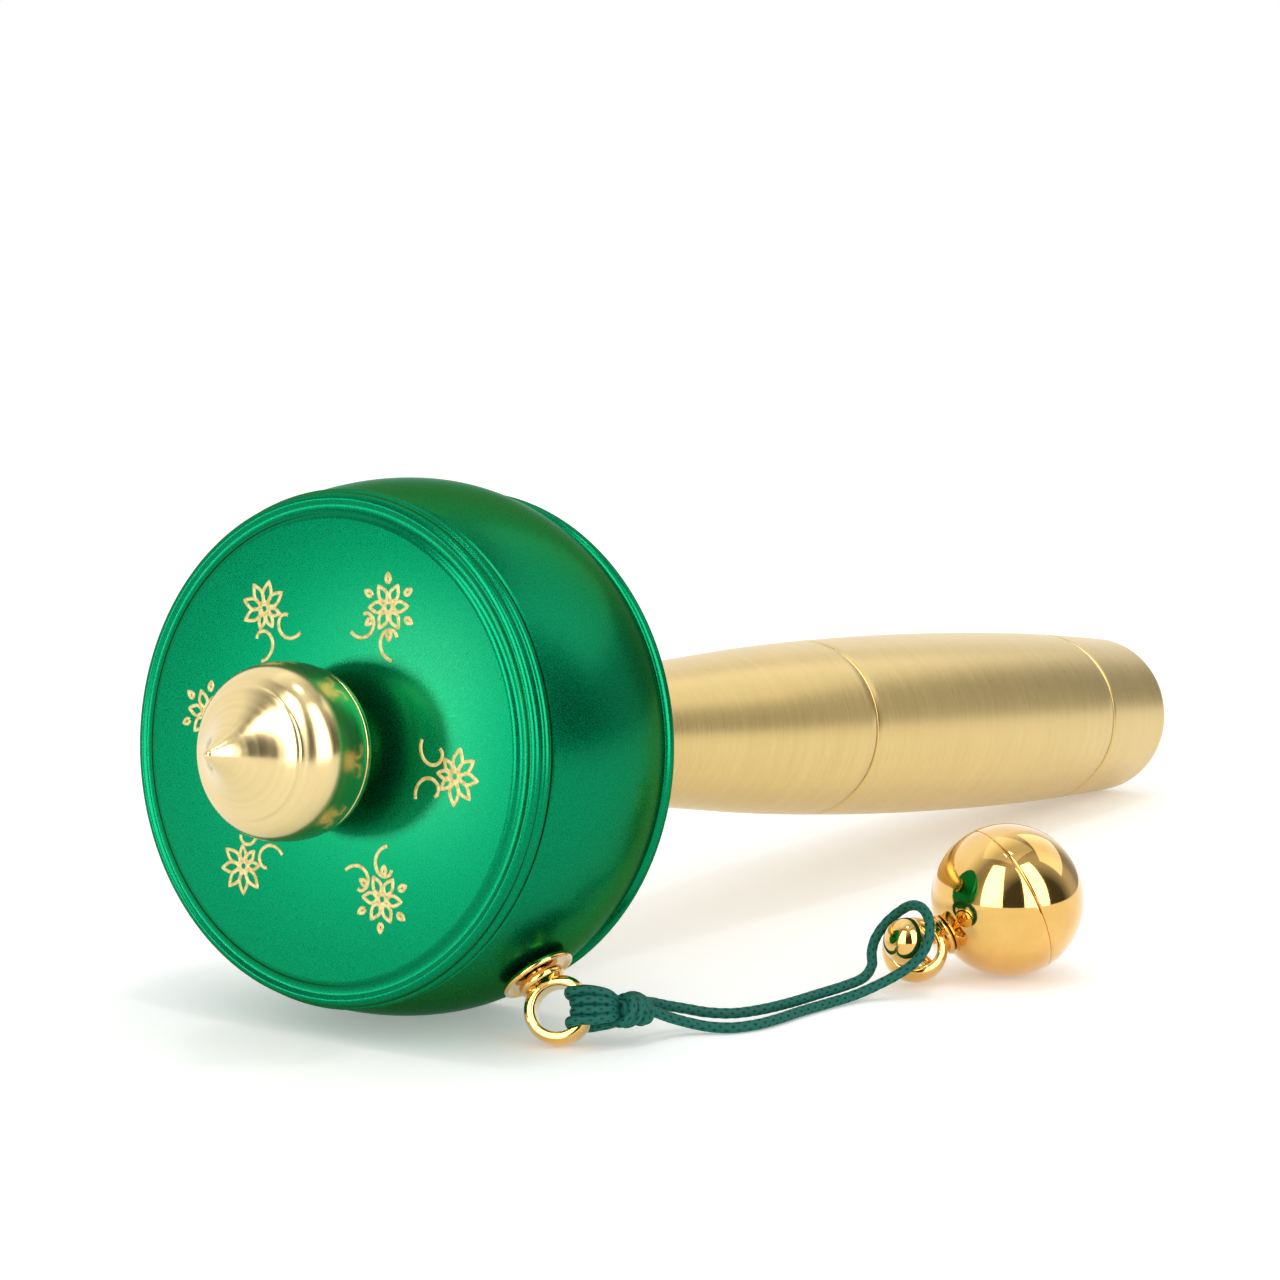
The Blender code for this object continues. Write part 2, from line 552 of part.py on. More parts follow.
nut("eyelet_nut", -BELLY_WALL - 0.4 * MM, drum_eyelet)

# ---------------------------------------------------------------- weight
tilt = lying_tilt()
turn_down = Matrix.Rotation(tilt, 3, "Y")
lift = max(r * cos(tilt) + x * sin(tilt) for x, r in belly_profile())
eye_middle = turn_down @ (along * EYE_AT + out * (belly_radius(EYE_AT) + EYE_REACH))
eye_middle.z += lift
resting.location.z = 0
spindle_axis.location.z = lift
WEIGHT_EYE_X = WEIGHT_R + WEIGHT_EYE_REACH
drop = (WEIGHT_EYE_HEIGHT - WEIGHT_R) / WEIGHT_EYE_X
level = sqrt(1 - drop ** 2)
towards_eye = Vector((level * cos(WEIGHT_TURN), level * sin(WEIGHT_TURN), drop))
side = Vector((0, 0, 1)).cross(towards_eye).normalized()
bore = cos(WEIGHT_ROLL) * side + sin(WEIGHT_ROLL) * towards_eye.cross(side)
weight_eye_middle = Vector((eye_middle.x + WEIGHT_EYE_FROM_EYE[0],
                            eye_middle.y + WEIGHT_EYE_FROM_EYE[1], WEIGHT_EYE_HEIGHT))
middle = weight_eye_middle - towards_eye * WEIGHT_EYE_X
weight_axis = empty("weight_axis", resting, frame_matrix(middle, towards_eye, bore))


def ball_arc(radius, first, last, steps):
    """Profile points on a ball centred on the origin, by angle from the X axis."""
    turns = [radians(first + (last - first) * i / steps) for i in range(steps + 1)]
    return [(radius * cos(turn), radius * sin(turn)) for turn in turns]


CAVITY_R = WEIGHT_R - WEIGHT_WALL
LAP_R = (WEIGHT_R + CAVITY_R) / 2 - 0.2 * MM
hole_angle = asin(SCREW_HOLE_R / WEIGHT_R) * 180 / pi
seam_angle = asin(WEIGHT_SEAM / WEIGHT_R) * 180 / pi
near = ball_arc(WEIGHT_R, 90 - seam_angle, hole_angle, 8)
near += ball_arc(CAVITY_R, asin(SCREW_HOLE_R / CAVITY_R) * 180 / pi, 90, 5)
near += [(-WEIGHT_LAP, CAVITY_R), (-WEIGHT_LAP, LAP_R), (near[0][0], LAP_R)]
turned("weight_half_near", near, weight_axis, POLISHED, WEIGHT_SIDES)
STEP = -WEIGHT_LAP - GAP
far = ball_arc(WEIGHT_R, 180, 90 + seam_angle, 8)
far += [(far[-1][0], LAP_R + RUNNING), (STEP, LAP_R + RUNNING)]
far += ball_arc(CAVITY_R, 90 + asin(-STEP / CAVITY_R) * 180 / pi, 180, 4)
far[0] = (-WEIGHT_R, 0)
far[-1] = (-CAVITY_R, 0)
turned("weight_half_far", far, weight_axis, POLISHED, WEIGHT_SIDES)
SEAT_BALL_R = WEIGHT_R + 0.12 * MM
FLARE_R = 2.3 * MM
flare = ball_arc(SEAT_BALL_R, asin(SCREW_R / SEAT_BALL_R) * 180 / pi,
                 asin(FLARE_R / SEAT_BALL_R) * 180 / pi, 4)
eye("weight_eye", weight_axis, WEIGHT_EYE_X,
    [(WEIGHT_R - WEIGHT_SCREW_DEPTH, 0), (WEIGHT_R - WEIGHT_SCREW_DEPTH, SCREW_R)] + flare
    + [(flare[-1][0] + 0.25 * MM, FLARE_R + 0.2 * MM), (flare[-1][0] + 0.6 * MM, FLARE_R),
       (WEIGHT_R + 0.7 * MM, 1.8 * MM), (WEIGHT_R + 1.1 * MM, 1.3 * MM),
       (WEIGHT_R + 1.2 * MM, 0)])
nut("weight_nut", 5.8 * MM, weight_axis)

# ---------------------------------------------------------------- toggle
stud_way = cos(KNOB_TILT) * bore + sin(KNOB_TILT) * towards_eye
level_way = stud_way.cross(Vector((0, 0, 1))).normalized()
bar_way = Matrix.Rotation(BAR_TURN, 3, stud_way) @ level_way
toggle_axis = empty("toggle_axis", resting, frame_matrix(weight_eye_middle, stud_way, bar_way))
neck_angle = 180 - asin(NECK_R / KNOB_R) * 180 / pi
head = [(KNOB_REACH + x, r) for x, r in ball_arc(KNOB_R, neck_angle, 0, 10)]
head[-1] = (KNOB_REACH + KNOB_R, 0)
toggle = turned("toggle", [(-BAR_REACH - 0.5 * MM, 0), (-BAR_REACH - 0.5 * MM, NECK_R)] + head,
                toggle_axis, POLISHED)
bar = turned_shape([(-BAR_LENGTH / 2, 0), (-BAR_LENGTH / 2, BAR_R - 0.15 * MM),
                    (-BAR_LENGTH / 2 + 0.2 * MM, BAR_R), (BAR_LENGTH / 2 - 0.2 * MM, BAR_R),
                    (BAR_LENGTH / 2, BAR_R - 0.15 * MM), (BAR_LENGTH / 2, 0)], 16)
bmesh.ops.transform(bar, verts=bar.verts,
                    matrix=Matrix.Translation((-BAR_REACH, 0, 0)) @ Matrix.Rotation(-pi / 2, 4, "Y"))
joined("toggle", toggle, [piece("toggle_bar", bar, toggle_axis, POLISHED)])

# ---------------------------------------------------------------- cord
cord_origin = Vector((eye_middle.x, eye_middle.y, 0))
route = [cord_origin + Vector(p) * MM for p in CORD_ROUTE]
curve = bpy.data.curves.new("cord_loop", "CURVE")
curve.dimensions = "3D"
curve.bevel_depth = CORD_R
curve.bevel_resolution = 2
curve.use_fill_caps = True
line = curve.splines.new("POLY")
line.points.add(CORD_STEPS)
for point, place in zip(line.points, smooth_route(route, CORD_STEPS)):
    point.co = (*place, 1.0)
curve.materials.append(CORD)
loop = bpy.data.objects.new("cord_loop", curve)
bpy.context.collection.objects.link(loop)
loop.parent = resting

knot_middle = cord_origin + Vector(KNOT_AT) * MM
leaving = (route[0] + route[-1]) / 2 - knot_middle
knot_axis = empty("knot_axis", resting, frame_matrix(
    knot_middle, leaving, leaving.cross(Vector((0, 0, 1)))))
knot = [(KNOT_LENGTH / 2 * cos(radians(180 - 180 * i / 10)), KNOT_R * sin(radians(180 * i / 10)))
        for i in range(11)]
knot[0] = (-KNOT_LENGTH / 2, 0)
knot[-1] = (KNOT_LENGTH / 2, 0)
turned("cord_knot", knot, knot_axis, CORD)

hitch = bmesh.new()
band_r = (EYE_BORE_R + EYE_R) / 2
inner = ((EYE_R - EYE_BORE_R) / 2 + HITCH_PLAY, EYE_WIDTH / 2 + HITCH_PLAY)
outer = (inner[0] + HITCH_WALL, inner[1] + HITCH_WALL)
loops = []
for step in range(7):
    angle = HITCH_AT + HITCH_REACH * (step - 3) / 3
    for across, reach in (inner, outer):
        ring = []
        for i in range(24):
            turn = 2 * pi * i / 24
            radius = band_r + across * cos(turn)
            ring.append(hitch.verts.new((EYE_REACH + radius * cos(angle), radius * sin(angle),
                                         reach * sin(turn))))
        loops.append(ring)
for step in range(6):
    for kind in (0, 1):
        a, b = loops[2 * step + kind], loops[2 * step + 2 + kind]
        for i in range(24):
            hitch.faces.new((a[i], a[i - 1], b[i - 1], b[i]))
for a, b in ((loops[0], loops[1]), (loops[-2], loops[-1])):
    for i in range(24):
        hitch.faces.new((a[i], a[i - 1], b[i - 1], b[i]))
piece("cord_hitch", hitch, drum_eyelet, CORD)

# ---------------------------------------------------------------- centre the wheel over its origin
bpy.context.view_layer.update()
corners = [made.matrix_world @ Vector(corner)
           for made in bpy.context.scene.objects
           if made.type == "MESH" and not made.hide_render and not made.name.startswith("cord_")
           for corner in [vertex.co for vertex in made.data.vertices]]
resting.location.x = -(min(c.x for c in corners) + max(c.x for c in corners)) / 2
resting.location.y = -(min(c.y for c in corners) + max(c.y for c in corners)) / 2
resting.location.z = -min(c.z for c in corners)
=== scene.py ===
import json

import bmesh
import bpy
import numpy as np
from mathutils import Matrix

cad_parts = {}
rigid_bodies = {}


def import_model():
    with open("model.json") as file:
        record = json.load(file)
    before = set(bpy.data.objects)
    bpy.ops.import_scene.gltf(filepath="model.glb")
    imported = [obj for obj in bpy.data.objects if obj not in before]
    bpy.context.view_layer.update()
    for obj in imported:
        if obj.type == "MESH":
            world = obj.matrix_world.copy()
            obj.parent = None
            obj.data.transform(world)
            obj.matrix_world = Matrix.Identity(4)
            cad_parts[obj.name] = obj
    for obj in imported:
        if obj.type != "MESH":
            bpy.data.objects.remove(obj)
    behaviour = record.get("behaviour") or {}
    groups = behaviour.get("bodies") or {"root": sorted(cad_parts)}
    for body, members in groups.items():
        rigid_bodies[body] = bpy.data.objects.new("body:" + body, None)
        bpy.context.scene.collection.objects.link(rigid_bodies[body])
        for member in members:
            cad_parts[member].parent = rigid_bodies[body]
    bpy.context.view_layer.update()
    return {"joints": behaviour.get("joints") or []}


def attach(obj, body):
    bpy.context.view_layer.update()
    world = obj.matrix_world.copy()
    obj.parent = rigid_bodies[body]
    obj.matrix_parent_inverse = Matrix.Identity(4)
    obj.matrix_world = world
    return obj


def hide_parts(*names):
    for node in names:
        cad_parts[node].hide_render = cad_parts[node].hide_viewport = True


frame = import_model()
mm = 0.001


def unit(vector):
    vector = np.asarray(vector, float)
    return vector / np.linalg.norm(vector)


# Where things are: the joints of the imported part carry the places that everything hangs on
joints = {joint["name"]: joint for joint in frame["joints"]}
lidCentre = np.array(joints["drum_spin"]["pos_m"])
spindleWay = unit(joints["drum_spin"]["axis"])
sideWay = np.array([0.0, 1.0, 0.0])
topWay = np.cross(spindleWay, sideWay)
drumEyeCentre = np.array(joints["cord_swing"]["pos_m"])
drumEyeBore = unit(joints["cord_swing"]["axis"])
weightEyeCentre = np.array(joints["weight_swing"]["pos_m"])
toggleWay = unit(joints["weight_swing"]["axis"])


def frameOf(origin, xWay, zWay):
    # 4x4 with x outwards and z along the bore, y making it right-handed
    xWay, zWay = unit(xWay), unit(zWay)
    made = np.eye(4)
    made[:3, 0], made[:3, 1], made[:3, 2], made[:3, 3] = xWay, np.cross(zWay, xWay), zWay, origin
    return made


spindle = frameOf(lidCentre, spindleWay, topWay)


shot = {
    "place": (-0.34782, -0.20711, 0.0880),   # metres, in the part's own frame
    "pitch": 82.57,                          # degrees, 90 is level
    "yaw": -55.66,
    "lens": 90.0,                            # mm on a 36 mm wide sensor
}
cameraData = bpy.data.cameras.new("camera")
cameraData.lens = shot["lens"]
cameraData.sensor_width = 36.0
cameraData.clip_start = 0.01
camera = bpy.data.objects.new("camera", cameraData)
bpy.context.collection.objects.link(camera)
camera.location = shot["place"]
camera.rotation_euler = (np.radians(shot["pitch"]), 0.0, np.radians(shot["yaw"]))
bpy.context.scene.camera = camera
print("camera set")


def toLinear(colour):
    # sRGB hex to linear RGBA
    parts = np.array([int(colour[i:i + 2], 16) for i in (1, 3, 5)]) / 255.0
    linear = np.where(parts <= 0.04045, parts / 12.92, ((parts + 0.055) / 1.055) ** 2.4)
    return (*[float(x) for x in linear], 1.0)


def addNode(tree, kind, settings=None, inputs=None, links=None):
    # One node: its own settings, fixed inputs by name or number, and what is linked into it
    node = tree.nodes.new(kind)
    for name, value in (settings or {}).items():
        setattr(node, name, value)
    for name, value in (inputs or {}).items():
        node.inputs[name].default_value = value
    for name, source in (links or {}).items():
        tree.links.new(source, node.inputs[name])
    return node


def rampStops(node, stops):
    # Colour ramp stops as (place, colour)
    ramp = node.color_ramp
    while len(ramp.elements) < len(stops):
        ramp.elements.new(0.5)
    for element, (place, colour) in zip(ramp.elements, stops):
        element.position = place
        element.color = colour if not isinstance(colour, str) else toLinear(colour)


def newMaterial(name):
    # A material with its Principled shader, ready for a maker's own nodes
    made = bpy.data.materials.new(name)
    made.use_nodes = True
    return made, made.node_tree, made.node_tree.nodes["Principled BSDF"]


def dress(tree, shader, tint, rough=None, bump=None, **fixed):
    # What the shader is fed: a colour, a roughness and a bump node, and its fixed values by name
    tree.links.new(tint, shader.inputs["Base Color"])
    if rough:
        tree.links.new(rough.outputs["Result"], shader.inputs["Roughness"])
    if bump:
        tree.links.new(bump.outputs["Normal"], shader.inputs["Normal"])
    for name, value in fixed.items():
        shader.inputs[name.replace("_", " ")].default_value = value


def alongSpindle(tree):
    # Object coordinates turned so that x runs along the spindle, which keeps turning marks square to it
    place = addNode(tree, "ShaderNodeTexCoord")
    tilt = float(np.arctan2(-spindleWay[2], spindleWay[0]))
    return addNode(tree, "ShaderNodeMapping", {"vector_type": "TEXTURE"},
                   {"Location": tuple(float(x) for x in lidCentre), "Rotation": (0.0, tilt, 0.0)},
                   {"Vector": place.outputs["Object"]})


greenFinish = {"colour": "#008a5a", "deep": "#006e46", "edge": "#06a070", "grain": 0.15, "roughness": 0.28}


def satinGreenAnodised():
    # Bead-blasted, dyed and sealed aluminium: deep green metal with a fine sparkle and a soft wide sheen
    made, tree, shader = newMaterial("satinGreenAnodisedAluminium")
    place = addNode(tree, "ShaderNodeTexCoord")
    grain = addNode(tree, "ShaderNodeTexNoise", {}, {"Scale": 1 / (greenFinish["grain"] * mm), "Detail": 2.0},
                    {"Vector": place.outputs["Object"]})
    cloud = addNode(tree, "ShaderNodeTexNoise", {}, {"Scale": 1 / (14 * mm), "Detail": 2.0},
                    {"Vector": place.outputs["Object"]})
    tint = addNode(tree, "ShaderNodeValToRGB", links={"Fac": grain.outputs["Fac"]})
    rampStops(tint, [(0.3, greenFinish["deep"]), (0.7, greenFinish["colour"])])
    wash = addNode(tree, "ShaderNodeMix", {"data_type": "RGBA", "blend_type": "MULTIPLY"},
                   {"Factor": 0.35}, {6: tint.outputs["Color"]})
    shade = addNode(tree, "ShaderNodeValToRGB", links={"Fac": cloud.outputs["Fac"]})
    rampStops(shade, [(0.3, (0.9, 0.93, 0.92, 1)), (0.7, (1, 1, 1, 1))])
    tree.links.new(shade.outputs["Color"], wash.inputs[7])
    rough = addNode(tree, "ShaderNodeMapRange", {},
                    {"From Min": 0.3, "From Max": 0.7, "To Min": greenFinish["roughness"] - 0.05,
                     "To Max": greenFinish["roughness"] + 0.07}, {"Value": grain.outputs["Fac"]})
    bump = addNode(tree, "ShaderNodeBump", {}, {"Strength": 0.06, "Distance": 0.02 * mm},
                   {"Height": grain.outputs["Fac"]})
    dress(tree, shader, wash.outputs[2], rough, bump, Metallic=0.96,
          Specular_Tint=toLinear(greenFinish["edge"]), Coat_Weight=0.06, Coat_Roughness=0.15)
    return made


brushFinish = {"light": "#dcc283", "dark": "#cfb473", "line": 0.14, "roughness": 0.30}


def brushedGoldAnodised():
    # Gold anodised aluminium brushed while it turned: fine marks square to the handle
    # that spread each highlight along them
    made, tree, shader = newMaterial("brushedGoldAnodisedAluminium")
    along = alongSpindle(tree)
    # Marks 0.14 mm apart and about 6 mm long
    fine = 1 / (brushFinish["line"] * mm)
    stretch = addNode(tree, "ShaderNodeMapping", {}, {"Scale": (fine, 160.0, 160.0)},
                      {"Vector": along.outputs["Vector"]})
    marks = addNode(tree, "ShaderNodeTexNoise", {}, {"Scale": 1.0, "Detail": 5.0, "Roughness": 0.65},
                    {"Vector": stretch.outputs["Vector"]})
    broad = addNode(tree, "ShaderNodeMapping", {}, {"Scale": (1 / (1.6 * mm), 60.0, 60.0)},
                    {"Vector": along.outputs["Vector"]})
    bands = addNode(tree, "ShaderNodeTexNoise", {}, {"Scale": 1.0, "Detail": 3.0},
                    {"Vector": broad.outputs["Vector"]})
    both = addNode(tree, "ShaderNodeMath", {"operation": "MULTIPLY_ADD"}, {1: 0.35},
                   {0: bands.outputs["Fac"], 2: marks.outputs["Fac"]})
    tint = addNode(tree, "ShaderNodeValToRGB", links={"Fac": both.outputs["Value"]})
    rampStops(tint, [(0.45, brushFinish["dark"]), (0.9, brushFinish["light"])])
    rough = addNode(tree, "ShaderNodeMapRange", {},
                    {"From Min": 0.3, "From Max": 0.7, "To Min": brushFinish["roughness"] - 0.05,
                     "To Max": brushFinish["roughness"] + 0.06}, {"Value": marks.outputs["Fac"]})
    bump = addNode(tree, "ShaderNodeBump", {}, {"Strength": 0.12, "Distance": 0.02 * mm},
                   {"Height": marks.outputs["Fac"]})
    dress(tree, shader, tint.outputs["Color"], rough, bump, Metallic=1.0)
    return made


finialFinish = {"light": "#e6d09a", "dark": "#dfc78e", "roughness": 0.2}


def turnedChampagne():
    # Fine-turned aluminium in champagne gold: nearly a mirror, with faint rings from the lathe
    made, tree, shader = newMaterial("fineTurnedChampagneAluminium")
    along = alongSpindle(tree)
    rings = addNode(tree, "ShaderNodeMapping", {}, {"Scale": (1 / (0.4 * mm), 12.0, 12.0)},
                    {"Vector": along.outputs["Vector"]})
    marks = addNode(tree, "ShaderNodeTexNoise", {}, {"Scale": 1.0, "Detail": 3.0},
                    {"Vector": rings.outputs["Vector"]})
    tint = addNode(tree, "ShaderNodeValToRGB", links={"Fac": marks.outputs["Fac"]})
    rampStops(tint, [(0.3, finialFinish["dark"]), (0.7, finialFinish["light"])])
    rough = addNode(tree, "ShaderNodeMapRange", {},
                    {"From Min": 0.3, "From Max": 0.7, "To Min": finialFinish["roughness"] - 0.04,
                     "To Max": finialFinish["roughness"] + 0.06}, {"Value": marks.outputs["Fac"]})
    bump = addNode(tree, "ShaderNodeBump", {}, {"Strength": 0.08, "Distance": 0.02 * mm},
                   {"Height": marks.outputs["Fac"]})
    dress(tree, shader, tint.outputs["Color"], rough, bump, Metallic=1.0)
    return made


platedFinish = {"light": "#e9bd66", "dark": "#e2b257", "roughness": 0.045}


def goldPlatedBrass():
    # Polished, gold-plated and lacquered brass: a warm mirror whose clear lacquer
    # keeps the brightest lights white
    made, tree, shader = newMaterial("polishedGoldPlatedBrass")
    place = addNode(tree, "ShaderNodeTexCoord")
    haze = addNode(tree, "ShaderNodeTexNoise", {}, {"Scale": 1 / (3.5 * mm), "Detail": 4.0},
                   {"Vector": place.outputs["Object"]})
    tint = addNode(tree, "ShaderNodeValToRGB", links={"Fac": haze.outputs["Fac"]})
    rampStops(tint, [(0.35, platedFinish["dark"]), (0.65, platedFinish["light"])])
    rough = addNode(tree, "ShaderNodeMapRange", {},
                    {"From Min": 0.35, "From Max": 0.75, "To Min": platedFinish["roughness"],
                     "To Max": platedFinish["roughness"] + 0.07}, {"Value": haze.outputs["Fac"]})
    bump = addNode(tree, "ShaderNodeBump", {}, {"Strength": 0.03, "Distance": 0.02 * mm},
                   {"Height": haze.outputs["Fac"]})
    dress(tree, shader, tint.outputs["Color"], rough, bump, Metallic=1.0, Coat_Weight=1.0, Coat_Roughness=0.03)
    return made


def groundSteel():
    # Ground bearing steel: cool grey with fine grinding marks
    made, tree, shader = newMaterial("groundBearingSteel")
    along = alongSpindle(tree)
    stretch = addNode(tree, "ShaderNodeMapping", {}, {"Scale": (1 / (0.2 * mm), 60.0, 60.0)},
                      {"Vector": along.outputs["Vector"]})
    marks = addNode(tree, "ShaderNodeTexNoise", {}, {"Scale": 1.0, "Detail": 4.0},
                    {"Vector": stretch.outputs["Vector"]})
    tint = addNode(tree, "ShaderNodeValToRGB", links={"Fac": marks.outputs["Fac"]})
    rampStops(tint, [(0.3, "#a9abae"), (0.7, "#c6c8ca")])
    rough = addNode(tree, "ShaderNodeMapRange", {},
                    {"From Min": 0.3, "From Max": 0.7, "To Min": 0.22, "To Max": 0.36},
                    {"Value": marks.outputs["Fac"]})
    dress(tree, shader, tint.outputs["Color"], rough, Metallic=1.0)
    return made


def fibrous(name, light, dark, size, roughness):
    # Paper, card and ribbon: matt fibres with a slightly mottled colour
    made, tree, shader = newMaterial(name)
    place = addNode(tree, "ShaderNodeTexCoord")
    fibre = addNode(tree, "ShaderNodeTexNoise", {}, {"Scale": 1 / (size * mm), "Detail": 6.0},
                    {"Vector": place.outputs["Object"]})
    tint = addNode(tree, "ShaderNodeValToRGB", links={"Fac": fibre.outputs["Fac"]})
    rampStops(tint, [(0.3, dark), (0.7, light)])
    bump = addNode(tree, "ShaderNodeBump", {}, {"Strength": 0.4, "Distance": 0.03 * mm},
                   {"Height": fibre.outputs["Fac"]})
    dress(tree, shader, tint.outputs["Color"], None, bump, Roughness=roughness)
    return made


# Cord colours: light is a painted highlight for the yarn crowns, dark is painted shade for the gaps between
# yarns, mid lies between
cordFinishWithPaintedShade = {"light": "#0c6a5a", "mid": "#05443a", "dark": "#021a16", "stitch": 0.3}


def braidedCord():
    # Braided waxed nylon: dark blue-green yarns; the colour paints a highlight on each yarn's crown and shade,
    # nearly black, in the gaps between them
    made, tree, shader = newMaterial("braidedNylonCord")
    crown = addNode(tree, "ShaderNodeAttribute", {"attribute_name": "crown"})
    place = addNode(tree, "ShaderNodeTexCoord")
    yarn = addNode(tree, "ShaderNodeTexNoise", {}, {"Scale": 1 / (cordFinishWithPaintedShade["stitch"] * mm), "Detail": 4.0},
                   {"Vector": place.outputs["Object"]})
    # Random yarn tone plus the crown measure; the crown part paints highlight on the crowns and shade in the
    # gaps
    yarnToneAndPaintedShade = addNode(tree, "ShaderNodeMath", {"operation": "MULTIPLY_ADD"}, {1: 0.45},
                    {0: yarn.outputs["Fac"], 2: crown.outputs["Fac"]})
    tint = addNode(tree, "ShaderNodeValToRGB", links={"Fac": yarnToneAndPaintedShade.outputs["Value"]})
    rampStops(tint, [(0.25, cordFinishWithPaintedShade["dark"]), (0.75, cordFinishWithPaintedShade["mid"]), (1.0, cordFinishWithPaintedShade["light"])])
    bump = addNode(tree, "ShaderNodeBump", {}, {"Strength": 0.5, "Distance": 0.05 * mm},
                   {"Height": yarn.outputs["Fac"]})
    dress(tree, shader, tint.outputs["Color"], None, bump, Roughness=0.6, Specular_IOR_Level=0.18)
    return made


def goldLeafPrint():
    # Laser-cut into the dye and filled with pale gold: slightly broken colour, satin
    made, tree, shader = newMaterial("paleGoldInlay")
    place = addNode(tree, "ShaderNodeTexCoord")
    worn = addNode(tree, "ShaderNodeTexNoise", {}, {"Scale": 1 / (0.5 * mm), "Detail": 4.0},
                   {"Vector": place.outputs["Object"]})
    tint = addNode(tree, "ShaderNodeValToRGB", links={"Fac": worn.outputs["Fac"]})
    rampStops(tint, [(0.3, "#b9a25a"), (0.6, "#e2d193")])
    dress(tree, shader, tint.outputs["Color"], Metallic=0.55, Roughness=0.42)
    return made


finishes = {
    "green": satinGreenAnodised(), "gold": brushedGoldAnodised(), "champagne": turnedChampagne(),
    "polished_brass": goldPlatedBrass(), "steel": groundSteel(), "inlay": goldLeafPrint(),
    "paper": fibrous("rolledMulberryPaper", "#efe3c4", "#d9c79c", 0.6, 0.85),
    "card": fibrous("greyBoardTube", "#a98a63", "#8a6d4b", 0.5, 0.9),
    "ribbon": fibrous("redSilkRibbon", "#8d1717", "#5f0b0b", 0.25, 0.6),
    "cord": braidedCord(),
}
print("materials made")


def finishMesh(name, points, faces, finish, body, sharp=35.0, crown=None):
    # Point array and face list to a smooth piece with its normals outwards, riding on its body
    mesh = bpy.data.meshes.new(name)
    mesh.from_pydata(points.tolist(), [], faces)
    if crown is not None:
        mesh.attributes.new("crown", "FLOAT", "POINT").data.foreach_set("value", crown.astype(np.float32))
    shape = bmesh.new()
    shape.from_mesh(mesh)
    bmesh.ops.recalc_face_normals(shape, faces=shape.faces)
    shape.to_mesh(mesh)
    shape.free()
    mesh.shade_smooth()
    mesh.set_sharp_from_angle(angle=np.radians(sharp))
    mesh.materials.append(finishes[finish])
    piece = bpy.data.objects.new(name, mesh)
    bpy.context.collection.objects.link(piece)
    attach(piece, body)
    return piece


def gridFaces(index, wrapU, wrapV):
    # Faces of a grid of vertex numbers; a row that is one repeated vertex closes as a fan
    down = np.vstack([index, index[:1]]) if wrapU else index
    full = np.hstack([down, down[:, :1]]) if wrapV else down
    quads = np.stack([full[:-1, :-1], full[1:, :-1], full[1:, 1:], full[:-1, 1:]], -1).reshape(-1, 4)
    topPole = quads[:, 0] == quads[:, 3]
    endPole = quads[:, 1] == quads[:, 2]
    plain = quads[~(topPole | endPole)]
    return plain.tolist() + quads[topPole][:, :3].tolist() + quads[endPole & ~topPole][:, [0, 1, 3]].tolist()


def rounded(corners):
    # Corners (along, radius, round) in mm; one with a round is cut by a parabola between its two edges
    corners = np.asarray(corners, float)
    line = []
    for i, (x, r, soft) in enumerate(corners):
        if soft <= 0 or i == 0 or i == len(corners) - 1:
            line.append([x, r])
            continue
        here = np.array([x, r])
        before, after = corners[i - 1, :2] - here, corners[i + 1, :2] - here
        lengths = np.linalg.norm(before), np.linalg.norm(after)
        start = here + before / lengths[0] * min(soft, 0.45 * lengths[0])
        end = here + after / lengths[1] * min(soft, 0.45 * lengths[1])
        t = np.linspace(0, 1, 5)[:, None]
        line += ((1 - t) ** 2 * start + 2 * t * (1 - t) * here + t ** 2 * end).tolist()
    return np.array(line)


def arc(x, r, size, first, last, count):
    # Circle points in a profile: 0 degrees outwards, 90 towards the lid
    turn = np.radians(np.linspace(first, last, count))
    return np.stack([x - size * np.sin(turn), r + size * np.cos(turn)], -1)


def turnedPoints(profile, place, sides):
    # Surface of revolution: each profile point (along, radius) goes round the frame's x axis
    profile = np.asarray(profile, float) * mm
    turn = np.linspace(0, 2 * np.pi, sides, endpoint=False)
    poles = profile[:, 1] < 1e-7
    x = np.repeat(profile[:, :1], sides, 1)
    y = profile[:, 1:] * np.sin(turn)
    z = -profile[:, 1:] * np.cos(turn)
    local = np.stack([x, y, z], -1)
    world = local @ place[:3, :3].T + place[:3, 3]
    keep = np.ones((len(profile), sides), bool)
    keep[poles, 1:] = False
    index = np.cumsum(keep.ravel()).reshape(keep.shape) - 1
    index[poles] = index[poles][:, :1]
    return world[keep], index


def turnedPiece(name, profile, place, finish, body, sides=128, sharp=35.0):
    # A turned piece; a profile that starts and ends on the axis is open there, any other closes on itself
    points, index = turnedPoints(profile, place, sides)
    wrap = profile[0][1] > 1e-4
    return finishMesh(name, points, gridFaces(index, wrap, True), finish, body, sharp)


def smoothLine(points, count):
    # Catmull-Rom curve through the points, read at even distances
    points = np.asarray(points, float)
    ends = np.vstack([2 * points[0] - points[1], points, 2 * points[-1] - points[-2]])
    t = np.linspace(0, 1, 40, endpoint=False)[:, None, None]
    a, b, c, d = ends[:-3], ends[1:-2], ends[2:-1], ends[3:]
    dense = 0.5 * (2 * b + (c - a) * t + (2 * a - 5 * b + 4 * c - d) * t ** 2
                   + (3 * b - 3 * c + d - a) * t ** 3)
    dense = np.vstack([dense.transpose(1, 0, 2).reshape(-1, 3), points[-1]])
    gone = np.concatenate([[0], np.cumsum(np.linalg.norm(np.diff(dense, axis=0), axis=1))])
    even = np.linspace(0, gone[-1], count)
    return np.stack([np.interp(even, gone, dense[:, k]) for k in range(3)], -1)


cordShape = {
    "radius": 0.6,      # mm
    "yarns": 4,         # yarns each way round the braid
    "lay": 5.2,         # mm along the cord for one turn of a yarn
    "depth": 0.10,      # share of the radius that the gaps sink
    "sides": 24,
}


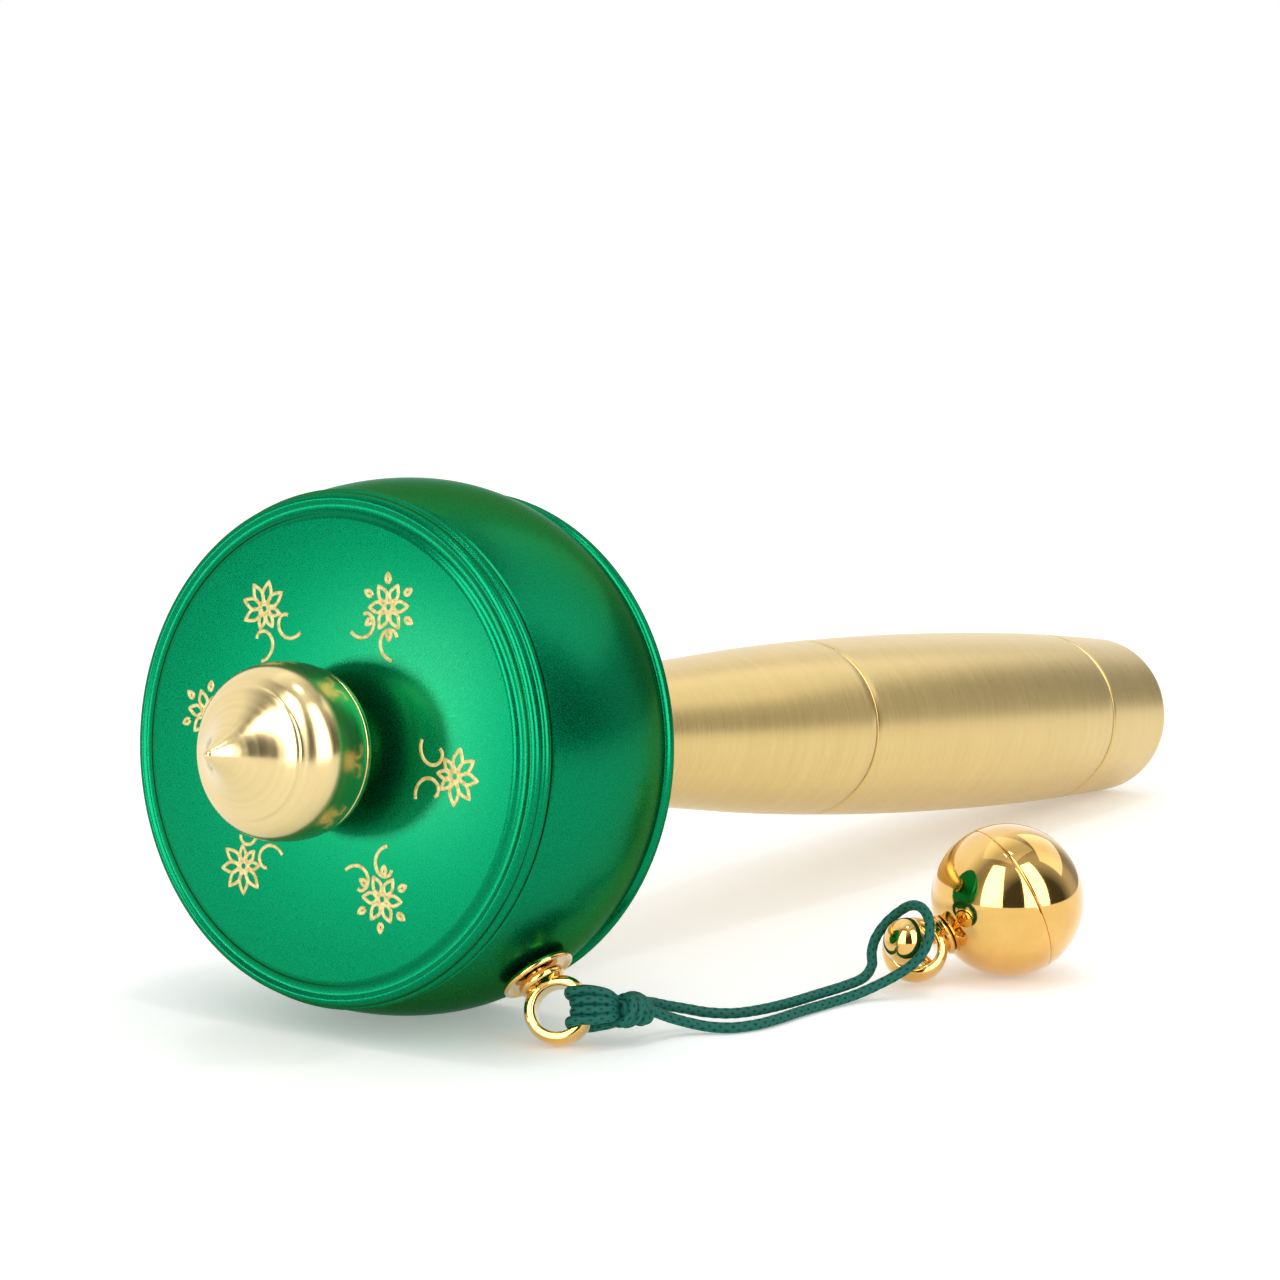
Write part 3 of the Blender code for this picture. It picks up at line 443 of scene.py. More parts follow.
def braidTube(path, radius, closed):
    # Tube along a path in metres: frames carried along it without twist, and a radius that is
    # largest along each yarn and smallest in the gaps between them
    count = len(path)
    ahead = np.roll(path, -1, 0) - np.roll(path, 1, 0) if closed else np.gradient(path, axis=0)
    ahead /= np.linalg.norm(ahead, axis=1)[:, None]
    side = np.zeros_like(path)
    first = np.cross(ahead[0], [0.13, 0.21, 0.97])
    side[0] = first / np.linalg.norm(first)
    for i in range(1, count):
        carried = side[i - 1] - ahead[i] * (side[i - 1] @ ahead[i])
        side[i] = carried / np.linalg.norm(carried)
    if closed:
        # The twist left where the loop closes is spread evenly over it
        last = side[-1] - ahead[0] * (side[-1] @ ahead[0])
        gap = np.arctan2(np.cross(last, side[0]) @ ahead[0], last @ side[0])
        spread = (gap * np.arange(count) / count)[:, None]
        side = side * np.cos(spread) + np.cross(ahead, side) * np.sin(spread)
    up = np.cross(ahead, side)
    turn = np.linspace(0, 2 * np.pi, cordShape["sides"], endpoint=False)
    gone = np.concatenate([[0], np.cumsum(np.linalg.norm(np.diff(path, axis=0), axis=1))])
    twist = gone / mm * 2 * np.pi / cordShape["lay"]
    if closed:
        total = gone[-1] + np.linalg.norm(path[0] - path[-1])
        turns = max(1, round(total / mm / cordShape["lay"] * cordShape["yarns"])) / cordShape["yarns"]
        twist = gone / total * 2 * np.pi * turns
    half = cordShape["yarns"] / 2
    left = np.abs(np.cos(half * (turn[None] - twist[:, None])))
    right = np.abs(np.cos(half * (turn[None] + twist[:, None])))
    # crown shapes the braid and also drives the cord's painted highlight and painted shade
    crown = np.maximum(left, right) ** 0.8
    reach = radius * (1 - cordShape["depth"] * (1 - crown))
    points = (path[:, None] + reach[..., None] * (np.cos(turn)[None, :, None] * side[:, None]
                                                 + np.sin(turn)[None, :, None] * up[:, None]))
    if closed:
        index = np.arange(points.shape[0] * points.shape[1]).reshape(points.shape[:2])
        return points.reshape(-1, 3), gridFaces(index, True, True), crown.ravel()
    # Ends closed by a pole
    caps = np.vstack([path[:1], points.reshape(-1, 3), path[-1:]])
    body = np.arange(1, len(caps) - 1).reshape(points.shape[:2])
    index = np.vstack([np.zeros((1, cordShape["sides"]), int), body,
                       np.full((1, cordShape["sides"]), len(caps) - 1)])
    return caps, gridFaces(index, False, True), np.concatenate([[0.5], crown.ravel(), [0.5]])


def braidPiece(name, runs, body):
    # Several tubes, each (path, radius in mm, closed), as one piece of cord
    points, faces, crowns, start = [], [], [], 0
    for path, radius, closed in runs:
        some, theirs, crown = braidTube(np.asarray(path, float), radius * mm, closed)
        points.append(some)
        faces += [[start + i for i in face] for face in theirs]
        crowns.append(crown)
        start += len(some)
    return finishMesh(name, np.vstack(points), faces, "cord", body, 60.0, np.concatenate(crowns))


# The cord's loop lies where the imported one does:
# x and y in mm from the middle of the drum's eye, z above the floor
cordRoute = np.array([
    (7.4, -7.4, 3.2), (9.6, -8.0, 2.2), (11.8, -9.1, 1.3), (13.3, -10.8, 0.8),
    (14.9, -12.7, 0.65), (17.6, -14.1, 0.65), (21.0, -14.7, 0.65), (25.5, -15.0, 0.65),
    (30.2, -15.6, 0.65), (34.2, -16.6, 0.9), (37.0, -18.0, 1.7), (38.8, -19.6, 2.8),
    (39.9, -21.2, 4.2), (40.5, -22.3, 6.0), (41.1, -22.5, 7.9), (42.0, -21.7, 9.3),
    (43.0, -20.2, 10.0), (43.9, -18.4, 9.8), (44.2, -16.8, 8.9), (43.6, -15.4, 7.5),
    (42.4, -14.7, 5.9), (40.9, -15.0, 4.5), (39.2, -16.0, 3.3), (36.8, -16.3, 2.4),
    (33.9, -15.5, 1.9), (29.8, -14.4, 1.6), (25.2, -13.7, 1.5), (20.9, -12.8, 1.5),
    (17.6, -11.2, 1.5), (15.2, -9.3, 1.8), (13.2, -7.6, 2.4), (10.9, -6.5, 3.1),
    (8.4, -5.8, 3.9),
])
floorUnderEye = np.array([drumEyeCentre[0], drumEyeCentre[1], 0.0])
loopEnds = np.array([(6.3, -6.9, 3.6), (6.9, -5.7, 4.0)])
route = floorUnderEye + mm * np.vstack([loopEnds[:1], cordRoute, loopEnds[1:]])
loopLine = smoothLine(route, 700)
cordLoop = braidPiece("cordLoop", [(loopLine, cordShape["radius"], False)], "cord")
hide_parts("cord_loop")

knotShape = {"place": (5.0, -6.0, 3.8), "wrap": 1.45, "strand": 0.56, "core": 1.15}
knotCentre = floorUnderEye + mm * np.array(knotShape["place"])
knotWay = unit((cordRoute[0] + cordRoute[-1]) / 2 - np.array(knotShape["place"]))
knotSide = unit(np.cross(knotWay, [0.0, 0.0, 1.0]))
knotUp = np.cross(knotSide, knotWay)


def wrapRound(offset, slope, phase):
    # A closed turn round the knot's axis: a circle whose place along the axis rises and falls once
    turn = np.linspace(0, 2 * np.pi, 80, endpoint=False)[:, None]
    radius = knotShape["wrap"] * (1 - 0.16 * abs(offset) / 2)
    return knotCentre + mm * (knotWay * (offset + slope * radius * np.sin(turn + phase))
                              + radius * (np.cos(turn) * knotSide + np.sin(turn) * knotUp))


wraps = [(wrapRound(offset, slope, phase), knotShape["strand"], True) for offset, slope, phase in
         ((-1.35, 0.45, 0.2), (-0.35, 0.5, 0.35), (0.55, -0.5, 0.1), (1.3, -0.42, -0.1))]
coreLine = knotCentre + mm * np.linspace(-2.1, 2.35, 60)[:, None] * knotWay
cordKnot = braidPiece("cordKnot", wraps + [(coreLine, knotShape["core"], False)], "cord")
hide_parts("cord_knot")

hitchShape = {"spacing": 1.08, "bore": 2.5, "outside": 3.85, "halfWidth": 1.5, "play": 0.1}
eyeToKnot = knotCentre - drumEyeCentre
pull = unit(eyeToKnot - drumEyeBore * (eyeToKnot @ drumEyeBore))
across = np.cross(drumEyeBore, pull)
knotBack = float(eyeToKnot @ drumEyeBore) / mm
knotOut = float(eyeToKnot @ pull) / mm


def hitchStrand(number):
    # One turn of cord: from the knot over the front of the eye, through its bore and back behind to the knot
    t = (number - 1.5) * hitchShape["spacing"]
    strand = knotShape["strand"]
    inside = np.sqrt(hitchShape["bore"] ** 2 - t ** 2) - strand - hitchShape["play"]
    outside = np.sqrt(hitchShape["outside"] ** 2 - t ** 2)
    face = hitchShape["halfWidth"] + strand + hitchShape["play"]
    path = [(knotOut - 1.3, knotBack + 0.75, 0.45 * t), (knotOut - 2.2, 0.25 * knotBack + 1.45, 0.8 * t),
            (outside + 0.25, face - 0.35, t), ((inside + outside) / 2 + 0.5, face, t),
            (inside + 0.35, face - 0.25, t), (inside, 0.6, t), (inside, -0.6, t),
            (inside + 0.35, 0.25 - face, t), ((inside + outside) / 2 + 0.5, -face, t),
            (outside + 0.25, 0.35 - face, t), (knotOut - 2.2, 0.4 * knotBack - 1.5, 0.8 * t),
            (knotOut - 1.3, knotBack - 0.75, 0.45 * t)]
    p = np.array(path)[:, :, None]
    return smoothLine(drumEyeCentre + mm * (p[:, 0] * pull + p[:, 1] * drumEyeBore + p[:, 2] * across), 140)


cordHitch = braidPiece("cordHitch", [(hitchStrand(i), knotShape["strand"], False) for i in range(4)], "cord")
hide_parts("cord_hitch")
loopPath = [[float(x) for x in point] for point in np.vstack([loopLine[::5], loopLine[-1:]])]
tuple(loopPath[0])
print("knot and hitch made")


drumShape = {
    "lidDepth": 2.9, "gap": 0.1,
    "bellyRadius": 30.0, "bellyAt": 15.0, "bellyEnd": 23.1, "bellyWall": 1.6,
    "fallFront": 0.0130, "fallRear": 0.0235,   # fall of the radius per mm squared
    "spigot": 26.0, "spigotInside": 24.7,     # radii of what slips into the belly
    "hole": 4.8, "seat": 6.56, "boss": 8.6,   # radii round the spindle: hole, bearing's seat, boss
}


def bellyRadius(x):
    # Barrel: radius falls with the square of the distance from the widest place
    fall = np.where(x < drumShape["bellyAt"], drumShape["fallFront"], drumShape["fallRear"])
    return drumShape["bellyRadius"] - fall * (x - drumShape["bellyAt"]) ** 2


spigot, spigotInside = drumShape["spigot"], drumShape["spigotInside"]
hole, seat, boss = drumShape["hole"], drumShape["seat"], drumShape["boss"]
lidLine = np.vstack([
    rounded([(0.0, hole, 0), (0.0, 25.3, 0.35), (0.45, 25.75, 0.4), (0.47, 26.45, 0.2), (0.42, 26.7, 0)]),
    arc(0.98, 27.15, 0.72, 112, -20, 16),
    arc(2.1, 27.62, 0.68, 62, -70, 16),
    rounded([(2.80, 27.85, 0), (2.9, 27.75, 0), (2.9, spigot, 0), (5.4, spigot, 0.2),
             (5.4, spigotInside, 0.2), (2.0, spigotInside, 0.3), (2.0, boss, 0.3), (6.5, boss, 0.3),
             (6.5, seat, 0.2), (2.0, seat, 0), (2.0, hole, 0)]),
])
drumLid = turnedPiece("drumLid", lidLine, spindle, "green", "drum", 256, 50.0)
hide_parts("drum_lid")

shellStart = drumShape["lidDepth"] + drumShape["gap"]
socket = spigot + drumShape["gap"]   # the lid and the base slip into it
along = np.linspace(shellStart + 0.15, drumShape["bellyEnd"] - 0.15, 60)
inner = np.linspace(20.0, 7.0, 24)
shellLine = np.vstack([
    [[shellStart, float(bellyRadius(shellStart)) - 0.15]], np.stack([along, bellyRadius(along)], -1),
    [[drumShape["bellyEnd"], float(bellyRadius(drumShape["bellyEnd"])) - 0.2],
     [drumShape["bellyEnd"], socket], [20.5, socket]],
    np.stack([inner, bellyRadius(inner) - drumShape["bellyWall"]], -1),
    [[5.7, socket], [shellStart, socket]],
])
drumShell = turnedPiece("drumShell", shellLine, spindle, "green", "drum", 256)
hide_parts("drum_shell")

baseLine = np.vstack([
    rounded([(25.1, hole, 0), (25.1, 26.7, 0.3), (25.1, 27.4, 0)])[:-1],
    arc(24.25, 28.0, 0.85, -80, 80, 16),
    rounded([(23.4, 27.9, 0), (23.4, spigot, 0), (20.8, spigot, 0.2), (20.8, spigotInside, 0.2),
             (23.3, spigotInside, 0.3), (23.3, boss, 0.3), (18.8, boss, 0.3), (18.8, seat, 0.2),
             (23.3, seat, 0), (23.3, hole, 0)]),
])
drumBase = turnedPiece("drumBase", baseLine, spindle, "green", "drum", 256, 50.0)
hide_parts("drum_base")
print("drum made")

# Finial: along the spindle and radius in mm, from the tip to the foot
cone = smoothLine([(-19.4, 0.0, 0), (-19.32, 0.32, 0), (-19.05, 0.58, 0), (-18.4, 1.0, 0), (-17.2, 1.85, 0),
                   (-15.9, 3.0, 0), (-14.6, 4.45, 0), (-13.6, 5.85, 0), (-13.0, 6.95, 0)], 44)[:, :2]
cone[0, 1] = 0.0
bulb = smoothLine([(-12.86, 7.08, 0), (-12.62, 6.98, 0), (-12.4, 7.22, 0), (-11.7, 8.15, 0),
                   (-10.6, 8.95, 0), (-9.2, 9.42, 0), (-7.6, 9.58, 0), (-6.2, 9.58, 0),
                   (-5.2, 9.5, 0), (-4.75, 9.4, 0)], 44)[:, :2]
finialLine = np.vstack([
    cone, bulb,
    rounded([(-4.6, 9.05, 0), (-4.5, 8.8, 0.05), (-4.35, 8.8, 0.05), (-4.25, 9.2, 0.15), (-3.6, 9.2, 0.25),
             (-3.1, 8.6, 0.2), (-2.6, 5.6, 0.4), (-2.4, 5.2, 0.2), (-1.0, 5.2, 0.2), (-1.0, 2.6, 0.1),
             (-12.3, 2.56, 0), (-12.3, 0.0, 0)]),
])
finial = turnedPiece("finial", finialLine, spindle, "champagne", "handle", 160, 40.0)
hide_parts("finial")

handleShape = {
    "start": 29.8, "end": 189.6, "seams": (99.2, 168.4), "gap": 0.15,
    "spindleHole": 2.56, "ease": 0.3, "buttRound": 2.8,
    "places": (26.7, 45, 62, 74, 83, 93, 103, 113, 124, 135, 147, 160, 170, 180, 189.6),
    "radii": (7.2, 7.78, 8.9, 9.89, 10.65, 11.3, 11.79, 12.2, 12.5, 12.67, 12.75, 12.67, 12.44, 12.1, 11.73),
}


def handleLine(start, end, count):
    # The handle's outline: points (along, radius) read evenly from a smooth curve through its radii
    line = smoothLine(np.stack([handleShape["places"], handleShape["radii"],
                                np.zeros(len(handleShape["places"]))], -1), 1200)[:, :2]
    x = np.linspace(start, end, count)
    return np.stack([x, np.interp(x, line[:, 0], line[:, 1])], -1)


def easedEdge(line, size, first, last):
    # The chosen ends of an outline eased by two short chamfers of the given size
    out = line.copy()
    if first:
        out = np.vstack([[out[0, 0], out[0, 1] - size], [out[0, 0] + 0.3 * size, out[0, 1] - 0.3 * size],
                         [out[0, 0] + size, out[0, 1]], out[1:]])
    if last:
        out = np.vstack([out[:-1], [out[-1, 0] - size, out[-1, 1]],
                         [out[-1, 0] - 0.3 * size, out[-1, 1] - 0.3 * size], [out[-1, 0], out[-1, 1] - size]])
    return out


firstSeam, secondSeam = handleShape["seams"]
seamGap, ease, spindleHole = handleShape["gap"], handleShape["ease"], handleShape["spindleHole"]
buttStart, buttCurve = handleShape["end"] - handleShape["buttRound"], handleShape["buttRound"]
foreLine = np.vstack([easedEdge(handleLine(handleShape["start"], firstSeam - seamGap, 50), ease, True, True),
                      [[firstSeam - seamGap, 4.1], [52.3, 4.1], [52.3, spindleHole],
                       [handleShape["start"], spindleHole]]])
gripLine = np.vstack([[[firstSeam - 12.0, 0.0], [firstSeam - 12.0, 4.0], [firstSeam + seamGap, 4.0]],
                      easedEdge(handleLine(firstSeam + seamGap, secondSeam - seamGap, 50), ease, True, True),
                      [[secondSeam - seamGap, 7.6], [106.2, 7.6], [106.2, 0.0]]])
buttEdge = handleLine(secondSeam + seamGap, buttStart, 24)
turnOver = np.radians(np.linspace(0, 90, 14))[1:]
buttRound = np.stack([buttStart + buttCurve * np.sin(turnOver),
                      8.8 + (buttEdge[-1, 1] - 8.8) * np.cos(turnOver)], -1)
buttLine = np.vstack([[[secondSeam - 12.0, 0.0], [secondSeam - 12.0, 7.5], [secondSeam + seamGap, 7.5]],
                      easedEdge(buttEdge, ease, True, False), buttRound, [[handleShape["end"], 0.0]]])
for name, line, node in (("handleFore", foreLine, "handle_fore"), ("handleGrip", gripLine, "handle_grip"),
                         ("handleButtCap", buttLine, "handle_butt_cap")):
    turnedHandle = turnedPiece(name, line, spindle, "gold", "handle", 160, 40.0)
    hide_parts(node)
collarLine = rounded([(26.7, 2.6, 0), (26.7, 7.7, 0), (26.9, 8.2, 0.3), (27.9, 8.2, 0.2), (28.2, 7.9, 0.2),
                      (28.5, 8.2, 0.2), (29.5, 8.2, 0.3), (29.7, 7.7, 0), (29.7, 2.6, 0)])
collar = turnedPiece("handleCollar", collarLine, spindle, "polished_brass", "handle", 128, 50.0)
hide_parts("handle_collar")
print("finial and handle made")

# Two eyes, each a stem and a D-shaped ring; the drum's stands on a flange
eyeShape = {
    "bore": 2.5, "outside": 3.85, "halfWidth": 1.5,   # mm, the ring
    "rimRadius": 2.75, "flat": 1.25,                  # mm, where the bore's eased rims start
    "reach": 5.4,                                     # mm from the belly to the ring's middle
    "along": 13.2,                                    # mm from the lid
    "screwEnd": -4.9,
}


def eyeRing(name, centre, bore, node, body):
    # Ring turned round its bore: flat inside with eased rims, domed outside
    dome = np.radians(np.linspace(8, 172, 22))
    middle = (eyeShape["bore"] + eyeShape["outside"]) / 2
    half = (eyeShape["outside"] - eyeShape["bore"]) / 2
    outside = np.stack([-eyeShape["halfWidth"] * np.cos(dome), middle + half * np.sin(dome) ** 0.85], -1)
    inside = rounded([(outside[-1, 0], outside[-1, 1], 0),
                      (eyeShape["halfWidth"], eyeShape["rimRadius"], 0.15),
                      (eyeShape["flat"], eyeShape["bore"], 0.25), (-eyeShape["flat"], eyeShape["bore"], 0.25),
                      (-eyeShape["halfWidth"], eyeShape["rimRadius"], 0.15),
                      (outside[0, 0], outside[0, 1], 0)])
    place = frameOf(centre, bore, np.cross(bore, [0.3, 0.5, 0.81]))
    ring = turnedPiece(name, np.vstack([outside, inside[1:-1]]), place, "polished_brass", body, 96, 50.0)
    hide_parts(node)
    return ring


bellyPoint = lidCentre + mm * eyeShape["along"] * spindleWay
outWay = unit(drumEyeCentre - bellyPoint)
seatPoint = drumEyeCentre - mm * eyeShape["reach"] * outWay
drumEye = frameOf(seatPoint, outWay, drumEyeBore)
eyeRing("drumEyeRing", drumEyeCentre, drumEyeBore, "drum_eye", "drum")
stemLine = rounded([(eyeShape["screwEnd"], 0.0, 0), (eyeShape["screwEnd"], 1.25, 0.2), (1.1, 1.25, 0.1),
                    (1.1, 2.65, 0.2), (1.95, 2.7, 0.35), (2.3, 1.75, 0.5), (2.75, 1.5, 0.3), (2.8, 0.0, 0)])
drumEyeStem = turnedPiece("drumEyeStem", stemLine, drumEye, "polished_brass", "drum", 64, 50.0)
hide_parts("drum_eye")
flangeLine = rounded([(0.3, 1.4, 0), (0.3, 3.9, 0.1), (0.45, 4.15, 0.15), (0.85, 4.2, 0.15),
                      (1.08, 4.05, 0.12), (1.05, 3.8, 0.1), (0.78, 3.35, 0.2), (0.78, 2.9, 0.1),
                      (0.8, 1.4, 0)])
flange = turnedPiece("eyeletFlange", flangeLine, drumEye, "polished_brass", "drum", 96, 50.0)
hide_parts("eyelet_flange")

weightShape = {
    "radius": 9.0, "wall": 2.4, "seam": 0.03,   # mm, the seam is half a gap
    "reach": 4.0,                              # mm from the ball to the middle of its ring
    "eyeHeight": 3.95,                         # mm above the floor
    "turn": 144.8, "roll": 38.0,               # degrees, the way to the ring and the ring's lean
}
span = weightShape["radius"] + weightShape["reach"]
drop = (weightShape["eyeHeight"] - weightShape["radius"]) / span
level = np.sqrt(1 - drop ** 2)
heading = np.radians(weightShape["turn"])
towardsEye = np.array([level * np.cos(heading), level * np.sin(heading), drop])
levelSide = unit(np.cross([0.0, 0.0, 1.0], towardsEye))
roll = np.radians(weightShape["roll"])
weightBore = np.cos(roll) * levelSide + np.sin(roll) * np.cross(towardsEye, levelSide)
weightCentre = weightEyeCentre - mm * span * towardsEye
weight = frameOf(weightCentre, towardsEye, weightBore)


def ballLine(radius, first, last, count):
    # Circle about the origin, by angle from the x axis
    turn = np.radians(np.linspace(first, last, count))
    return np.stack([radius * np.cos(turn), radius * np.sin(turn)], -1)


cavity = weightShape["radius"] - weightShape["wall"]
edge = np.degrees(np.arcsin(weightShape["seam"] / weightShape["radius"]))
nearLine = np.vstack([
    [[weightShape["seam"], 8.94]], ballLine(weightShape["radius"], 90 - edge - 0.4, 8.6, 56),
    ballLine(cavity, 11.8, 90, 30), [[-1.8, cavity], [-1.8, 7.6], [weightShape["seam"], 7.6]],
])
farLine = np.vstack([
    ballLine(weightShape["radius"], 180, 90 + edge + 0.4, 56), [[-weightShape["seam"], 8.94]],
    [[-weightShape["seam"], 7.7], [-2.1, 7.7]], ballLine(cavity, 108.6, 180, 28),
])
farLine[0, 1] = farLine[-1, 1] = 0.0
for name, line, node in (("weightHalfNear", nearLine, "weight_half_near"),
                         ("weightHalfFar", farLine, "weight_half_far")):
    half = turnedPiece(name, line, weight, "polished_brass", "weight", 160, 60.0)
    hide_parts(node)
eyeRing("weightEyeRing", weightEyeCentre, weightBore, "weight_eye", "weight")
weightStemLine = rounded([(3.6, 0.0, 0), (3.6, 1.25, 0.2), (9.04, 1.25, 0), (8.84, 2.3, 0), (9.1, 2.5, 0.12),
                          (9.4, 2.3, 0.2), (9.7, 1.75, 0.3), (10.3, 1.45, 0.3), (10.45, 0.0, 0)])
weightStem = turnedPiece("weightEyeStem", weightStemLine, weight, "polished_brass", "weight", 64, 50.0)
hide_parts("weight_eye")

toggleShape = {
    "head": 2.75, "headAt": 5.1, "neck": 0.85, "neckEnd": -4.2,   # mm
    "bar": 0.65, "barAt": 3.7, "barLength": 5.8,                 # mm
    "barTurn": -40.0,                                         # degrees
}
levelBar = unit(np.cross(toggleWay, [0.0, 0.0, 1.0]))
barTurn = np.radians(toggleShape["barTurn"])
barWay = np.cos(barTurn) * levelBar + np.sin(barTurn) * np.cross(toggleWay, levelBar)
toggle = frameOf(weightEyeCentre, toggleWay, barWay)
headLine = ballLine(toggleShape["head"], 161, 0, 48) + [toggleShape["headAt"], 0.0]
headLine[-1, 1] = 0.0
neckLine = rounded([(toggleShape["neckEnd"], 0.0, 0), (toggleShape["neckEnd"], toggleShape["neck"], 0.25),
                    (1.9, toggleShape["neck"], 0.3), (2.5, 0.9, 0)])
stud = turnedPiece("toggleStud", np.vstack([neckLine, headLine]), toggle, "polished_brass", "cord", 96, 50.0)
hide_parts("toggle")
barCentre = weightEyeCentre - mm * toggleShape["barAt"] * toggleWay
barEnd = toggleShape["barLength"] / 2
barLine = rounded([(-barEnd, 0.0, 0), (-barEnd, 0.5, 0.2), (0.15 - barEnd, toggleShape["bar"], 0.1),
                   (barEnd - 0.15, toggleShape["bar"], 0.1), (barEnd, 0.5, 0.2), (barEnd, 0.0, 0)])
barPlace = frameOf(barCentre, barWay, toggleWay)
bar = turnedPiece("toggleBar", barLine, barPlace, "polished_brass", "cord", 40, 50.0)
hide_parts("toggle")
print("eyes, weight and toggle made")

# Six gilt flower medallions on the lid
motifShape = {
    "radius": 17.6,                                    # mm from the drum's middle
    "places": (56.0, 115.0, 184.0, 240.0, 308.0, 8.0),  # degrees round the lid, from the side towards the top
    "size": 3.9,                                       # mm, half the height of a medallion
    "line": 0.24,                                      # half width of a raised line
    "rise": 0.09,
}


def petal(length, width, turn, foot, count=18):
    # One petal's outline: width grows as the sine of the way along and comes back to the foot
    t = np.linspace(0, 1, count)
    half = width * np.sin(np.pi * t ** 0.85) * (1 - 0.25 * t)
    side = np.stack([foot + length * t, half], -1)
    outline = np.vstack([side, side[::-1][1:] * [1, -1]])
    c, s = np.cos(turn), np.sin(turn)
    return outline @ np.array([[c, s], [-s, c]])


def curl(turn, mirror):
    # Leaf scroll: a spiral whose reach falls evenly over one turn and a quarter
    t = np.linspace(0, 1, 22)
    angle = turn + mirror * (0.2 + 4.2 * t)
    reach = 0.62 * (1 - 0.72 * t)
    centre = np.array([np.cos(turn), np.sin(turn)]) * 1.0
    return np.stack([centre[0] + reach * np.cos(angle), centre[1] + reach * np.sin(angle)], -1)


def motifLines(kind):
    # A flower and two scrolls, in units of the medallion's half height; y points away from the drum's middle
    if kind % 2 == 0:
        lines = [petal(0.62, 0.17, np.radians(a), 0.16) for a in (90, 132, 48, 174, 6)]
        lines += [petal(0.42, 0.12, np.radians(a), 0.16) for a in (270, 225, 315)]
    else:
        lines = [petal(0.5, 0.16, np.radians(a), 0.17) for a in range(30, 390, 60)]
        lines += [petal(0.26, 0.08, np.radians(a), 0.66) for a in range(0, 360, 60)]
    ring = np.radians(np.linspace(0, 360, 22))
    lines.append(0.13 * np.stack([np.cos(ring), np.sin(ring)], -1))
    lines += [curl(np.radians(a), side) * 0.92 for a, side in ((232, 1), (308, -1))]
    return lines


def raisedLine(line, width, rise):
    # A line drawn in the plane becomes a low ridge: section points (across, height)
    line = np.asarray(line, float)
    ahead = np.gradient(line, axis=0)
    ahead /= np.linalg.norm(ahead, axis=1)[:, None] + 1e-9
    across = np.stack([-ahead[:, 1], ahead[:, 0]], -1)
    section = np.array([(-1.0, -0.6), (-0.75, 0.55), (0.0, 1.0), (0.75, 0.55), (1.0, -0.6)])
    flat = line[:, None] + section[None, :, :1] * width * across[:, None]
    high = np.repeat(section[None, :, 1:] * rise, len(line), 0)
    return np.concatenate([flat, high], -1)


def motifPiece(name, kind, place, scale, lineWidth, finish):
    # Every outline of a medallion, set on the lid by place, a function of (x, y, height) in mm
    points, faces, start = [], [], 0
    for line in motifLines(kind):
        ridge = raisedLine(line * scale, lineWidth, motifShape["rise"])
        count, wide = ridge.shape[:2]
        index = np.arange(start, start + count * wide).reshape(count, wide)
        faces += gridFaces(index, False, True)
        faces += [index[0].tolist(), index[-1][::-1].tolist()]
        points.append(place(ridge.reshape(-1, 3)))
        start += count * wide
    piece = finishMesh(name, np.vstack(points), faces, finish, "drum", 40.0)
    return piece


def onLid(angle):
    # Medallion plane on the lid: up is away from the middle, height comes out of the face
    out = np.cos(np.radians(angle)) * sideWay + np.sin(np.radians(angle)) * topWay
    aside = np.cross(out, spindleWay)

    def place(flat):
        return lidCentre + mm * (motifShape["radius"] * out + flat[:, :1] * aside + flat[:, 1:2] * out
                                 - flat[:, 2:] * spindleWay)
    return place


for number, angle in enumerate(motifShape["places"]):
    motifPiece("lidMedallion%d" % (number + 1), number, onLid(angle), motifShape["size"],
               motifShape["line"], "inlay")
print("medallions made")

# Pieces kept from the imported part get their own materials
keptFinish = {
    "spindle": "steel", "thrust_washer": "polished_brass", "top_washer": "polished_brass",
    "bearing_spacer": "steel", "upper_bearing_inner": "steel", "upper_bearing_outer": "steel",
    "upper_bearing_cage": "steel", "lower_bearing_inner": "steel", "lower_bearing_outer": "steel",
    "lower_bearing_cage": "steel", "scroll_core": "card", "prayer_scroll": "paper",
    "scroll_tie_1": "ribbon", "scroll_tie_2": "ribbon", "eyelet_nut": "polished_brass",
    "weight_nut": "steel",
}
for thing in bpy.data.objects:
    kept = keptFinish.get(thing.name)
    if kept and thing.type == "MESH":
        thing.data.materials.clear()
        thing.data.materials.append(finishes[kept])

# A large pale table, upright window-like panels that only polished surfaces see, soft light above
studio = {
    "table": 12.0,           # metres across
    "tableGlow": 0.28,       # light of its own, which keeps the shadows soft
    "white": 1.0,            # how bright the surroundings look to the camera
    "soft": 0.85,            # and how much they light cloth, paper and the table
    "shine": 1.15,           # the brightest of what metal sees of them
    # direction over the floor, distance, width, height in metres, radiance
    "panels": (((-0.992, -0.07), 0.85, 0.50, 1.60, 4.2), ((-0.282, -0.955), 0.85, 0.62, 1.60, 4.2)),
    "lidGlow": ((-0.808, 0.530, 0.06), 0.09, 0.12, 16.0),
    "back": ((0.66, -0.30, 0.66), 0.9, 0.6, 0.9),
    "key": ((-0.10, -0.10, 1.25), 0.12, 22.0),
    "above": ((0.05, 0.05, 1.1), 0.9, 0.4),
}


